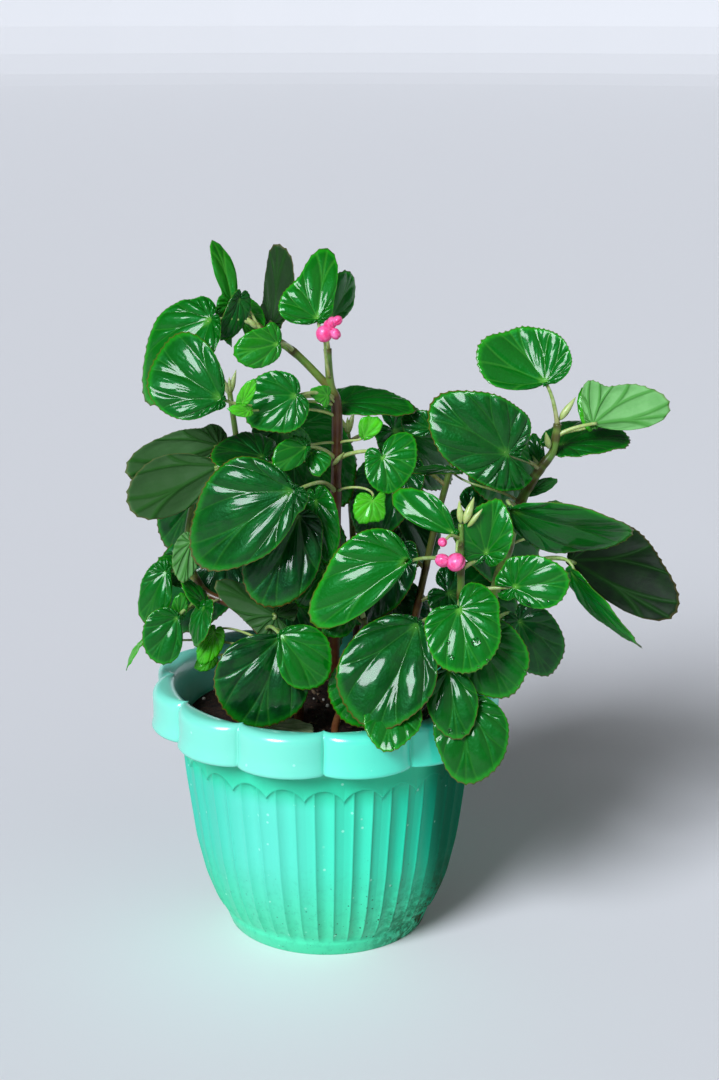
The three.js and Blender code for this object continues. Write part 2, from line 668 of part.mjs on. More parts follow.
// A leaf that has dropped off and lies on the soil by the front of the rim
function fallenLeaf() {
  const base = vec(-36, -30, 130.3);
  const tip = vec(-8, -43, 130.3);
  const form = { ...LEAF_DEFAULTS, cup: 0, fold: 0.04, droop: 0, wave: 0.02, skew: 0.05 };
  const frame = bladeFrame(base, tip, vec(0, 0, 1), form);
  return meshOf("fallen_leaf", blade(base, frame, 27, form), 0x8fa37c, 0.7);
}

const allStems = [mainStem, leftStem, flowerStem, rightStem, frontStem, cornerStem, ...backStems];

const plant = new THREE.Group();
plant.name = "potted_begonia";
plant.add(pot(), soil(allStems.map((stem) => stem.foot)), ...allStems.map(leafyStem));
plant.add(
  buds(
    "upper_buds",
    [[-2, 345, -6, 4.8], [3, 352, -6, 3.2], [6, 353, -7, 3], [4.6, 345, -7, 3.4], [1, 350, -4, 3.4]],
    0xf06a9a,
  ),
  buds("lower_buds", [[77, 208, -62, 5.4], [69, 209, -61, 4.2]], 0xf06a9a),
  buds("small_bud", [[69, 220, -58, 2.7]], 0xd84a78),
  fallenLeaf(),
);

export default plant;
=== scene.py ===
# Potted begonia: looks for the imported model. Metres, in the model's frame; tables are in millimetres.
import math
from functools import partial

import bpy
import numpy as np
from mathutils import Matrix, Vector


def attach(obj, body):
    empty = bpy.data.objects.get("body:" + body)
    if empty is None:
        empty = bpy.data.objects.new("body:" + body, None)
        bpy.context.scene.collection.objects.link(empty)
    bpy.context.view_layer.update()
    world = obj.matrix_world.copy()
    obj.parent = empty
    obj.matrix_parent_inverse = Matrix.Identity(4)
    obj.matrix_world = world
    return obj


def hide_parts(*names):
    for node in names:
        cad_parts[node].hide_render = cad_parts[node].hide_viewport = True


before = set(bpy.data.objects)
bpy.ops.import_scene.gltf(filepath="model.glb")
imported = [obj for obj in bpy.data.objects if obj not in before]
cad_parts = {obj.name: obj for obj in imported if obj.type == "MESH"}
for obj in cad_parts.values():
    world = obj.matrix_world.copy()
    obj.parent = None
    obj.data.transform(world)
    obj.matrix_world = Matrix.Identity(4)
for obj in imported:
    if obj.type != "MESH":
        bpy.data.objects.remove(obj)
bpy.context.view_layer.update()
mm = 0.001
fullTurn = 2 * math.pi

# Camera: the photo's eye, worked out from the pot's rim and base
cameraSet = {"pitch": math.radians(16.3), "distance": 1200, "across": 19.2, "up": 221.3, "focalPixels": 2000,
             "frameHeight": 1080, "sensor": 24, "farthest": 200}
pitch = cameraSet["pitch"]
sight = np.array([0, math.cos(pitch), -math.sin(pitch)])
pictureUp = np.array([0, math.sin(pitch), math.cos(pitch)])
eye = np.array([cameraSet["across"], 0, 0]) - sight * cameraSet["distance"] + pictureUp * cameraSet["up"]


def seen(place):
    # a point of the picture plane, carried along its sight line to a depth along +Y
    across, up, back = place
    ray = np.array([across, 0, 0]) + pictureUp * up - eye
    return eye + ray * (back - eye[1]) / ray[1]


def unit(v):
    return v / np.linalg.norm(v)


def turned(v, axis, angle):
    # v turned about a unit axis
    c, s = math.cos(angle), math.sin(angle)
    return v * c + np.cross(axis, v) * s + axis * np.dot(axis, v) * (1 - c)


def smooth(low, high, x):
    # 0 below low, 1 above high, and an even ease between them
    t = np.clip((x - low) / (high - low), 0, 1)
    return t * t * (3 - 2 * t)


def wobble(points, wavelength, seed):
    # a soft random field, -1 to 1: the mean of three plane waves in seeded directions
    draw = np.random.default_rng(seed)
    total = np.zeros(points.shape[:-1])
    for _ in range(3):
        way = draw.normal(size=3)
        way = way / np.linalg.norm(way) * fullTurn / wavelength
        total += np.sin(points @ way + draw.uniform(0, fullTurn))
    return total / 3


def drawer(state):
    # draws numbers between two limits, one after another, as the model does
    def draw(low, high):
        nonlocal state
        state = (state * 1664525 + 1013904223) % 2**32
        return low + (high - low) * state / 2**32

    return draw


# Materials. A texture's scale is 1000 over the size of its pattern in millimetres
# For a kind of node: the inputs that take its values in order, the output that it gives, and its settings
nodeKinds = {
    "Attribute": ((), 2, {}),
    "Bump": (("Height", "Distance", "Strength", "Normal"), 0, {}),
    "MapRange": (range(5), 0, {"interpolation_type": "SMOOTHSTEP"}),
    "Mix": ((0, 6, 7), 2, {"data_type": "RGBA"}),
    "TexCoord": ((), 3, {}),
    "TexNoise": (("Vector", "Scale", "Detail", "Roughness"), 0, {}),
    "TexVoronoi": (("Vector", "Scale"), 0, {}),
}
otherKind = (range(3), 0, {})


def linear(hexColour):
    # an sRGB hex colour as the linear values that shaders take
    values = [int(hexColour[i : i + 2], 16) / 255 for i in (1, 3, 5)]
    return tuple(v / 12.92 if v <= 0.04045 else ((v + 0.055) / 1.055) ** 2.4 for v in values) + (1.0,)


def feed(tree, made, inputs):
    # gives each input of a node a value, a hex colour, or what another node puts out
    for socket, value in inputs.items():
        if isinstance(value, bpy.types.Node):
            value = value.outputs[nodeKinds.get(value.bl_idname.removeprefix("ShaderNode"), otherKind)[1]]
        if isinstance(value, bpy.types.NodeSocket):
            tree.links.new(value, made.inputs[socket])
        else:
            made.inputs[socket].default_value = linear(value) if isinstance(value, str) else value


def add(tree, kind, *values, **settings):
    # adds a node of a kind with its settings and links
    order, _, usual = nodeKinds.get(kind, otherKind)
    made = tree.nodes.new("ShaderNode" + kind)
    for name, value in {**usual, **settings}.items():
        setattr(made, name, value)
    feed(tree, made, dict(zip(order, values)))
    return made


def begin(name):
    # an empty material, with what adds its nodes, what feeds its shader, and its object coordinates
    material = bpy.data.materials.new(name)
    material.use_nodes = True
    tree = material.node_tree
    tree.nodes.clear()
    shader = add(tree, "BsdfPrincipled")
    feed(tree, add(tree, "OutputMaterial"), {"Surface": shader})
    return material, partial(add, tree), partial(feed, tree, shader), add(tree, "TexCoord")


# Veins: they leave the stalk's end like a fan, an even angle apart, and each but the midrib forks on its way
veins = {"spacing": 0.56, "forkFrom": 0.42, "forkSpread": 0.5, "grooveMm": 2.2, "puffMm": 1.7, "ridges": 4,
         "ridgeLong": 9}


def veinDistance(angle, out, reachMm):
    # distance in mm from the nearest vein, for the angle from the midrib and the part of the way out
    turns = angle / veins["spacing"]
    beside = np.abs(turns - np.round(turns))
    forked = np.abs(beside - np.maximum(0, out - veins["forkFrom"]) * veins["forkSpread"])
    return np.minimum(forked, np.abs(turns)) * veins["spacing"] * out * reachMm


def veinNodes(node):
    # the same distance in nodes, the part of the way out, and coordinates for ridges that run out with the
    # veins: they change quickly round the leaf and slowly outwards
    uv = node("SeparateXYZ", node("UVMap", uv_map="leaf"))
    reach = node("Attribute", attribute_name="reach")
    outMm = node("Math", uv.outputs[1], reach, operation="MULTIPLY")
    turns = node("Math", uv.outputs[0], 0.5, operation="SUBTRACT")
    turns = node("Math", turns, fullTurn / veins["spacing"], operation="MULTIPLY")
    spread = node("Math", uv.outputs[1], veins["forkFrom"], operation="SUBTRACT")
    spread = node("Math", spread, 0, operation="MAXIMUM")
    spread = node("Math", spread, veins["forkSpread"], operation="MULTIPLY")
    forked = node("Math", node("Math", turns, 0.5, operation="PINGPONG"), spread, operation="SUBTRACT")
    forked = node("Math", forked, operation="ABSOLUTE")
    nearest = node("Math", forked, node("Math", turns, operation="ABSOLUTE"), operation="MINIMUM")
    nearest = node("Math", nearest, veins["spacing"], operation="MULTIPLY")
    aroundLeaf = node("Math", turns, veins["ridges"], operation="MULTIPLY")
    along = node("Math", outMm, 1 / veins["ridgeLong"], operation="MULTIPLY")
    streaks = node("CombineXYZ", aroundLeaf, along, reach)
    return node("Math", nearest, outMm, operation="MULTIPLY"), uv.outputs[1], streaks


def leafTop():
    # upper side of a begonia leaf: a waxy wet cuticle over puffed deep green, with sunken veins that are
    # paler on young leaves, a light hub over the stalk, and a bright green margin, painted as light shining
    # through the thin edge, that ends in a thin red-brown edge
    material, node, finish, place = begin("begonia leaf, waxy wet upper side")
    tone = node("Attribute", attribute_name="tone")
    distance, out, streaks = veinNodes(node)
    green = node("Mix", node("MapRange", tone, 0, 0.5), "#03260A", "#026208")
    for factor, colour in (
        (node("MapRange", tone, 0.5, 1), "#4CC00E"),
        (node("MapRange", node("TexNoise", place, 1000 / 9, 4, 0.55), 0.35, 0.7, 0, 0.4), "#05600F"),
        (node("MapRange", distance, 0.1, 0.6, node("MapRange", tone, 0.3, 1, 0.07, 0.45), 0), "#5CB83A"),
        (node("MapRange", out, 0.02, 0.16, node("MapRange", tone, 0.1, 0.6, 0.18, 0.6), 0), "#6CB43C"),
        # painted light shining through the thin edge: a brighter green margin, stronger on young leaves
        (node("MapRange", out, 0.9, 0.98, 0, node("MapRange", tone, 0, 0.5, 0.25, 0.6)), "#22A012"),
        (node("MapRange", out, 0.978, 0.998, 0, node("MapRange", tone, 0.2, 0.8, 0.7, 0.15)), "#6E3A1C"),
    ):
        green = node("Mix", factor, green, colour)
    # sunken veins, ridges along them, crinkled skin and pores
    bump = node("Bump", node("MapRange", distance, 0, 0.8), 0.25 * mm, 0.7)
    bump = node("Bump", node("TexNoise", streaks, 1, 2, 0.5), 0.7 * mm, 0.45, bump)
    bump = node("Bump", node("TexNoise", place, 1000 / 2.6, 3, 0.65), 0.42 * mm, 0.6, bump)
    bump = node("Bump", node("TexVoronoi", place, 1000 / 1.3), 0.16 * mm, 0.45, bump)
    wax = node("MapRange", node("TexNoise", place, 1000 / 6, 4, 0.55), 0.3, 0.7, 0.34, 0.5)
    finish({"Base Color": green, "Roughness": wax, "Normal": bump, "IOR": 1.36, "Coat Weight": 0.45,
            "Coat Roughness": 0.1, "Specular Tint": "#70FFA8", "Subsurface Weight": 0.04,
            "Subsurface Scale": 2 * mm, "Subsurface Radius": (0.1, 1, 0.1)})
    return material


def leafUnder():
    # lower side: dull grey-green without wax, paler on young leaves, with greener raised veins
    material, node, finish, place = begin("begonia leaf, dull lower side")
    distance, out, _ = veinNodes(node)
    young = node("MapRange", node("Attribute", attribute_name="tone"), 0, 1)
    grey = node("Mix", young, "#081C0A", "#74B46A")
    for factor, colour in (
        (node("MapRange", node("TexNoise", place, 1000 / 7, 4, 0.55), 0.3, 0.7, 0, 0.5),
         node("Mix", young, "#12320E", "#5A9A52")),
        (node("MapRange", distance, 0.15, 1.2, 0.75, 0), node("Mix", young, "#123C0C", "#3A8A2A")),
        (node("MapRange", out, 0.97, 0.995, 0, 0.4), "#6A5A34"),
    ):
        grey = node("Mix", factor, grey, colour)
    bump = node("Bump", node("MapRange", distance, 0, 1, 1, 0), 0.5 * mm, 0.8)
    bump = node("Bump", node("TexNoise", place, 1000 / 2.2, 3, 0.55), 0.3 * mm, 0.4, bump)
    finish({"Base Color": grey, "Normal": bump, "Roughness": 0.55, "IOR": 1.34, "Specular IOR Level": 0.25,
            "Subsurface Weight": 0.05, "Subsurface Scale": 2 * mm, "Subsurface Radius": (0.4, 1, 0.3)})
    return material


def stalkSkin():
    # leaf stalk: juicy pale green with paler blotches, redder near the stem
    material, node, finish, place = begin("begonia leaf stalk, juicy pale green")
    along = node("SeparateXYZ", node("UVMap", uv_map="leaf")).outputs[1]
    tone = node("Attribute", attribute_name="tone")
    green = node("Mix", node("MapRange", tone, 0, 1), "#4E8A1E", "#A4BE68")
    red = node("Math", node("MapRange", along, 0, 0.6, 0.7, 0.05), node("MapRange", tone, 0.2, 0.9, 1, 0.15),
               operation="MULTIPLY")
    green = node("Mix", red, green, "#8A4A36")
    pale = node("MapRange", node("TexNoise", place, 1000 / 2.5, 4, 0.55), 0.35, 0.7, 0, 0.3)
    green = node("Mix", pale, green, "#D6DDB4")
    bump = node("Bump", node("TexNoise", place, 1000 / 1.4, 3, 0.55), 0.2 * mm, 0.4)
    finish({"Base Color": green, "Normal": bump, "Roughness": 0.32, "IOR": 1.42, "Coat Weight": 0.2,
            "Coat Roughness": 0.15, "Subsurface Weight": 0.15, "Subsurface Scale": 2 * mm})
    return material


def stemSkin():
    # stem: jointed and fleshy, red-brown low down and green at the top, darker at each joint. tone runs from
    # 0, brown all the way, to 1, green all the way, and reach is 1 at a joint
    material, node, finish, place = begin("begonia stem, fleshy red-brown to green")
    along = node("SeparateXYZ", node("UVMap", uv_map="leaf")).outputs[1]
    early = node("Math", node("Attribute", attribute_name="tone"), 0.8, operation="MULTIPLY")
    green = node("MapRange", node("Math", along, early, operation="ADD"), 0.62, 1.05)
    skin = node("Mix", green, "#582C18", "#5E8A34")
    for factor, colour in (
        (node("MapRange", node("TexNoise", place, 1000 / 5, 4, 0.55), 0.4, 0.7, 0, 0.45), "#6E5A2C"),
        (node("MapRange", node("Attribute", attribute_name="reach"), 0.2, 0.9, 0, 0.7), "#42200F"),
    ):
        skin = node("Mix", factor, skin, colour)
    bump = node("Bump", node("TexNoise", place, 1000 / 2.2, 4, 0.55), 0.5 * mm, 0.5)
    finish({"Base Color": skin, "Normal": bump, "Roughness": 0.36, "IOR": 1.42, "Coat Weight": 0.2,
            "Coat Roughness": 0.2, "Subsurface Weight": 0.05, "Subsurface Scale": 2 * mm})
    return material


print("materials for the plant")
plantFinishes = [leafTop(), leafUnder(), stalkSkin(), stemSkin()]
topSide, underSide, stalkSide, stemSide = range(4)  # places in plantFinishes


# Surfaces. A part has points, blocks of faces with their finish, a UV pair for each point, and a weld: which
# point stands for each point, so that seams and poles are closed while their UV runs on
def part(points, blocks, uv, tone, reach, weld):
    count = len(points)
    return {"points": points, "blocks": blocks, "uv": uv, "weld": weld,
            "tone": np.broadcast_to(tone, count), "reach": np.broadcast_to(reach, count)}


def gridFaces(rows, columns):
    # quads between neighbours on a grid of rows by columns
    i = np.arange(rows - 1)[:, None] * columns
    j = np.arange(columns - 1)[None, :]
    return np.stack([i + j, i + j + 1, i + columns + j + 1, i + columns + j], -1).reshape(-1, 4)


def addObject(name, data):
    made = bpy.data.objects.new(name, data)
    bpy.context.scene.collection.objects.link(made)
    return made


def makePiece(name, parts, finishes, replaced=None):
    # joins parts into one smooth object, which rides on the body and may stand for a node of the model
    starts = np.cumsum([0] + [len(p["points"]) for p in parts])
    blocks = [(faces + start, finish) for p, start in zip(parts, starts) for faces, finish in p["blocks"]]
    raw = np.concatenate([faces.ravel() for faces, _ in blocks])
    weld = np.concatenate([p["weld"] + start for p, start in zip(parts, starts)])
    used, corners = np.unique(weld[raw], return_inverse=True)
    sizes = np.concatenate([np.full(len(faces), faces.shape[1]) for faces, _ in blocks])
    joined = {key: np.concatenate([p[key] for p in parts]) for key in ("points", "uv", "tone", "reach")}
    mesh = bpy.data.meshes.new(name)
    mesh.vertices.add(len(used))
    mesh.vertices.foreach_set("co", (joined["points"][used] * mm).ravel())
    mesh.loops.add(len(corners))
    mesh.loops.foreach_set("vertex_index", corners.astype(np.int32))
    mesh.polygons.add(len(sizes))
    mesh.polygons.foreach_set("loop_start", np.concatenate([[0], np.cumsum(sizes)[:-1]]).astype(np.int32))
    mesh.update(calc_edges=True)
    slots = [np.full(len(faces), finish) for faces, finish in blocks]
    mesh.polygons.foreach_set("material_index", np.concatenate(slots))
    mesh.polygons.foreach_set("use_smooth", np.ones(len(sizes), bool))
    mesh.uv_layers.new(name="leaf").data.foreach_set("uv", joined["uv"][raw].ravel())
    for key in ("tone", "reach"):
        mesh.attributes.new(key, "FLOAT", "POINT").data.foreach_set("value", joined[key][used].astype(float))
    for material in finishes:
        mesh.materials.append(material)
    piece = addObject(name, mesh)
    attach(piece, "root")
    if replaced:
        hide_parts(replaced)
    print(f"{name}: {len(mesh.polygons)} faces")


def shell(points, finish, tone=0.0, reach=0.0):
    # a closed part from a grid of points: its last column is its first, and each of its end rows is one point
    rows, columns = points.shape[:2]
    weld = np.arange(rows * columns).reshape(rows, columns)
    weld[:, -1] = weld[:, 0]
    weld[0] = 0
    weld[-1] = weld[-1, 0]
    first, quads, last = np.split(gridFaces(rows, columns), [columns - 1, (rows - 2) * (columns - 1)])
    across, along = np.meshgrid(np.linspace(0, 1, columns), np.linspace(0, 1, rows))
    uv = np.stack([across, along], -1).reshape(-1, 2)
    blocks = [(first[:, [0, 2, 3]], finish), (quads, finish), (last[:, [0, 1, 2]], finish)]
    return part(points.reshape(-1, 3), blocks, uv, tone, reach, weld.ravel())


def ball(rows, columns):
    # a grid on a ball of radius 1, and its angles: down from its pole, and round
    down, around = np.linspace(0, math.pi, rows)[:, None], np.linspace(0, fullTurn, columns)[None, :]
    down, around = np.broadcast_arrays(down, around)
    points = [np.sin(down) * np.cos(around), np.sin(down) * np.sin(around), -np.cos(down)]
    return np.stack(points, -1), down, around


def carriedRound(rows, angle):
    # a profile's rows of radius, height and a third value, carried round the axis
    radii, heights, others = (np.stack([value + 0 * angle for value in column]) for column in zip(*rows))
    return np.stack([radii * np.sin(angle), -radii * np.cos(angle), heights], -1), others


def tumbled(spread):
    # a turn that a 3 by 3 draw of numbers gives
    basis, _ = np.linalg.qr(spread)
    return (basis * np.sign(np.linalg.det(basis))).T


def tube(path, radii, sides, finish, tone=0.0, reach=0.0):
    # a round tube along a path, whose first ring's corners are carried along from ring to ring
    path = np.concatenate([path[:1], path, path[-1:]])
    radii = np.concatenate([[0], np.broadcast_to(radii, len(path) - 2), [0]])
    reach = np.concatenate([[0], np.broadcast_to(reach, len(path) - 2), [0]])
    ways = np.gradient(path, axis=0)
    ways[0], ways[-1] = ways[1], ways[-2]
    ways = ways / np.linalg.norm(ways, axis=1, keepdims=True)
    normals = np.empty_like(path)
    carried = np.array([0.3, 1, 0.2])
    for i, way in enumerate(ways):
        carried = unit(carried - way * np.dot(carried, way))
        normals[i] = carried
    angle = np.linspace(0, fullTurn, sides + 1)[None, :, None]
    ring = np.cos(angle) * normals[:, None] + np.sin(angle) * np.cross(ways, normals)[:, None]
    points = path[:, None] + ring * radii[:, None, None]
    return shell(points, finish, tone, np.repeat(reach, sides + 1))


def curveThrough(places):
    # a centripetal Catmull-Rom curve through places, as a function of the part of the way in stretches
    p = np.array(places, float)
    padded = np.vstack([2 * p[0] - p[1], p, 2 * p[-1] - p[-2]])
    gaps = np.linalg.norm(np.diff(padded, axis=0), axis=1)[:, None] ** 0.5

    def at(t):
        t = np.atleast_1d(t) * (len(p) - 1)
        i = np.minimum(t.astype(int), len(p) - 2)
        s = (t - i)[:, None]
        x0, x1, x2, x3 = (padded[i + k] for k in range(4))
        d0, d1, d2 = (gaps[i + k] for k in range(3))
        leave = ((x1 - x0) / d0 - (x2 - x0) / (d0 + d1) + (x2 - x1) / d1) * d1
        arrive = ((x2 - x1) / d1 - (x3 - x1) / (d1 + d2) + (x3 - x2) / d2) * d1
        bend = 3 * (x2 - x1) - 2 * leave - arrive
        return x1 + leave * s + bend * s**2 + (2 * (x1 - x2) + leave + arrive) * s**3

    return at


# Leaves
leafDefaults = {"roll": 0, "twist": 0, "heel": 0.28, "skew": 0.12, "cup": -0.1, "fold": 0.1, "droop": 0.1,
                "wave": 0.025, "phase": 0}
bladeSet = {"halfThick": 0.33, "thinning": 0.55, "notchHalf": 0.2, "toothSpacing": 2.3, "toothDepth": 0.75,
            "toothSamples": 3, "rows": 19, "smallRows": 9, "smallWidth": 24, "sway": 0.7, "ridge": 0.2,
            "flutter": 0.5, "fullSize": 50}


def bladeRadius(angle, form, length):
    # from the stalk's end to the margin, as parts of the length. Where the leaf's own reach is given, in mm
    # at every 30 degrees round from the tip, a smooth closed curve runs through it. Other leaves are a circle
    # round a point ahead of the stalk's end, with a notch behind and a slight point at the tip
    if "reach" in form:
        steps = np.array(form["reach"]) / length
        turn = (angle / fullTurn % 1) * len(steps)
        low = turn.astype(int) % len(steps)
        t = turn - turn.astype(int)
        before, first, second, after = (steps[(low + k) % len(steps)] for k in (-1, 0, 1, 2))
        bend = 2 * first - 2 * second + (second - before + after - first) / 2
        ease = 3 * (second - first) - (second - before) - (after - first) / 2
        return first + (second - before) / 2 * t + ease * t**2 + bend * t**3
    reach = (1 + form["heel"]) / 2
    ahead = (1 - form["heel"]) / 2
    aside = form["skew"] * reach
    across = ahead * np.sin(angle) - aside * np.cos(angle)
    rounded = ahead * np.cos(angle) + aside * np.sin(angle) + np.sqrt(reach**2 - across**2)
    notch = 1 - 0.45 * np.exp(-(((math.pi - np.abs(angle)) / 0.5) ** 2))
    point = 1 + 0.05 * np.exp(-((angle / 0.22) ** 2))
    return rounded * notch * point


def bladeHeight(x, y, angle, form):
    # cup lifts the margin, fold lifts the sides, droop bends the tip down and wave ripples the margin
    out = x * x + y * y
    ripple = form["wave"] * out * np.sin(5 * angle + form["phase"])
    fold = form["fold"] * (np.sqrt(y * y + 0.004) - 0.063)
    return form["cup"] * out + fold - form["droop"] * np.maximum(0, x) ** 2 + ripple


def bladeFrame(base, tip, towards, form):
    # the midrib's way, the way across, the way the upper side faces, and the blade's length
    length = np.linalg.norm(tip - base)
    axis = (tip - base) / length
    way = np.array(towards, float)
    normal = turned(unit(way - axis * np.dot(way, axis)), axis, math.radians(form["roll"]))
    return axis, np.cross(normal, axis), normal, length


def gridNormals(points):
    # unit normals of a grid of points, from its differences along rows and columns
    normals = np.cross(np.gradient(points, axis=0), np.gradient(points, axis=1))
    normals[0] = normals[1].mean(axis=0)
    return normals / np.linalg.norm(normals, axis=-1, keepdims=True)


def bladeShape(base, bladeAxes, width, form, seed):
    # the blade's middle surface as a function of the part of the way out and the angle from the midrib
    axis, side, normal, length = bladeAxes
    reach = (1 + form["heel"]) / 2
    stretch = 1 if "reach" in form else width / 2 / (reach * length)
    reachMm = reach * length
    teeth = max(14, round(math.pi * (length + width) / 2 / bladeSet["toothSpacing"]))
    span = math.pi - bladeSet["notchHalf"]
    size = min(1.0, length / bladeSet["fullSize"])
    phases = np.random.default_rng(seed).uniform(0, 6, 4)
    toothDepth = (0.4 + 0.6 * size) * bladeSet["toothDepth"] / reachMm

    def place(out, angle):
        # the outline with its teeth and slight lobes
        turns = (angle + span) / (2 * span) * teeth
        uneven = 0.75 + 0.25 * np.sin(turns * 1.7 + phases[0])
        tooth = (0.55 - np.abs(np.sin(math.pi * turns)) ** 0.8) * uneven * toothDepth
        lobes = 0.014 * np.sin(4 * angle + phases[1]) + 0.008 * np.sin(9 * angle + phases[2])
        radius = out * bladeRadius(angle, form, length) * (1 + (tooth + lobes) * out**6)
        x = radius * np.cos(angle)
        y = radius * np.sin(angle) * stretch
        # skin puffed between the veins, a margin that flutters, and small ridges
        inner = smooth(0.04, 0.45, out) * (1 - 0.75 * smooth(0.8, 1.0, out))
        groove = np.exp(-veinDistance(angle, out, reachMm) / (veins["grooveMm"] * size))
        puff = veins["puffMm"] * size * inner * (1 - groove) * (1 + 0.3 * smooth(20, 60, reachMm))
        flutter = bladeSet["flutter"] * size * out**4 * np.sin(13 * angle + phases[3])
        ridged = np.stack(np.broadcast_arrays(angle * 20, out * 5, 0 * out + seed), -1)
        ridges = bladeSet["ridge"] * size * inner * wobble(ridged, 1, seed)
        height = bladeHeight(x, y, angle, form) + (puff + flutter + ridges) / length
        # the twist turns the blade about its midrib, more towards the tip, and the whole sways a little
        turn = math.radians(form["twist"]) * x
        middle = base + axis * (x * length)[..., None]
        middle = middle + side * ((y * np.cos(turn) - height * np.sin(turn)) * length)[..., None]
        middle = middle + normal * ((y * np.sin(turn) + height * np.cos(turn)) * length)[..., None]
        sway = bladeSet["sway"] * size * out * wobble(middle, length * 0.8, seed)
        return middle + normal * sway[..., None]

    return place, reachMm, teeth, span


def blade(base, bladeAxes, width, form, tone, seed):
    # both sides of a blade: its middle surface moved out by half its thickness, which thins to the edge
    place, reachMm, teeth, span = bladeShape(base, bladeAxes, width, form, seed)
    columns = teeth * bladeSet["toothSamples"] + 1
    rows = bladeSet["rows"] if width > bladeSet["smallWidth"] else bladeSet["smallRows"]
    angle = np.linspace(-span, span, columns)[None, :]
    out = (np.linspace(0, 1, rows) ** 0.8)[:, None]
    middle = place(out, angle)
    thick = gridNormals(middle) * (bladeSet["halfThick"] * (1 - bladeSet["thinning"] * out**5))[..., None]
    uv = np.stack(np.broadcast_arrays(angle / fullTurn + 0.5, out), -1).reshape(-1, 2)
    # the first row is one point, the stalk's end
    under = rows * columns
    weld = np.arange(2 * under)
    weld[:columns] = 0
    weld[under : under + columns] = under
    faces = gridFaces(rows, columns)
    fan, quads = faces[: columns - 1][:, [0, 2, 3]], faces[columns - 1 :]
    edge = np.concatenate([
        np.arange(rows) * columns,
        (rows - 1) * columns + np.arange(1, columns),
        np.arange(rows - 2, 0, -1) * columns + columns - 1,
    ])
    after = np.roll(edge, -1)
    wall = np.stack([edge, edge + under, after + under, after], -1)
    blocks = [(fan[:, ::-1], topSide), (quads[:, ::-1], topSide), (wall, topSide),
              (fan + under, underSide), (quads + under, underSide)]
    points = np.concatenate([(middle + thick).reshape(-1, 3), (middle - thick).reshape(-1, 3)])
    return part(points, blocks, np.concatenate([uv, uv]), tone, reachMm, weld), place


# Stems and what grows on them
stemSet = {"round": 0.92, "swell": 0.16, "swellMm": 3.2, "sides": 14, "perStretch": 10, "root": (-30, -4, 9)}
stalkSet = {"foot": 1.9, "tip": 1.25, "round": 0.7, "smallLeaf": 20, "smallScale": 0.65, "rise": 0.12,
            "ahead": 0.05, "under": 0.35, "samples": 18, "sides": 10}
soilTop = 128


def rooted(foot, path):
    # a foot stands upright in its hole
    return [np.array([*foot, soilTop + up]) for up in stemSet["root"]] + path


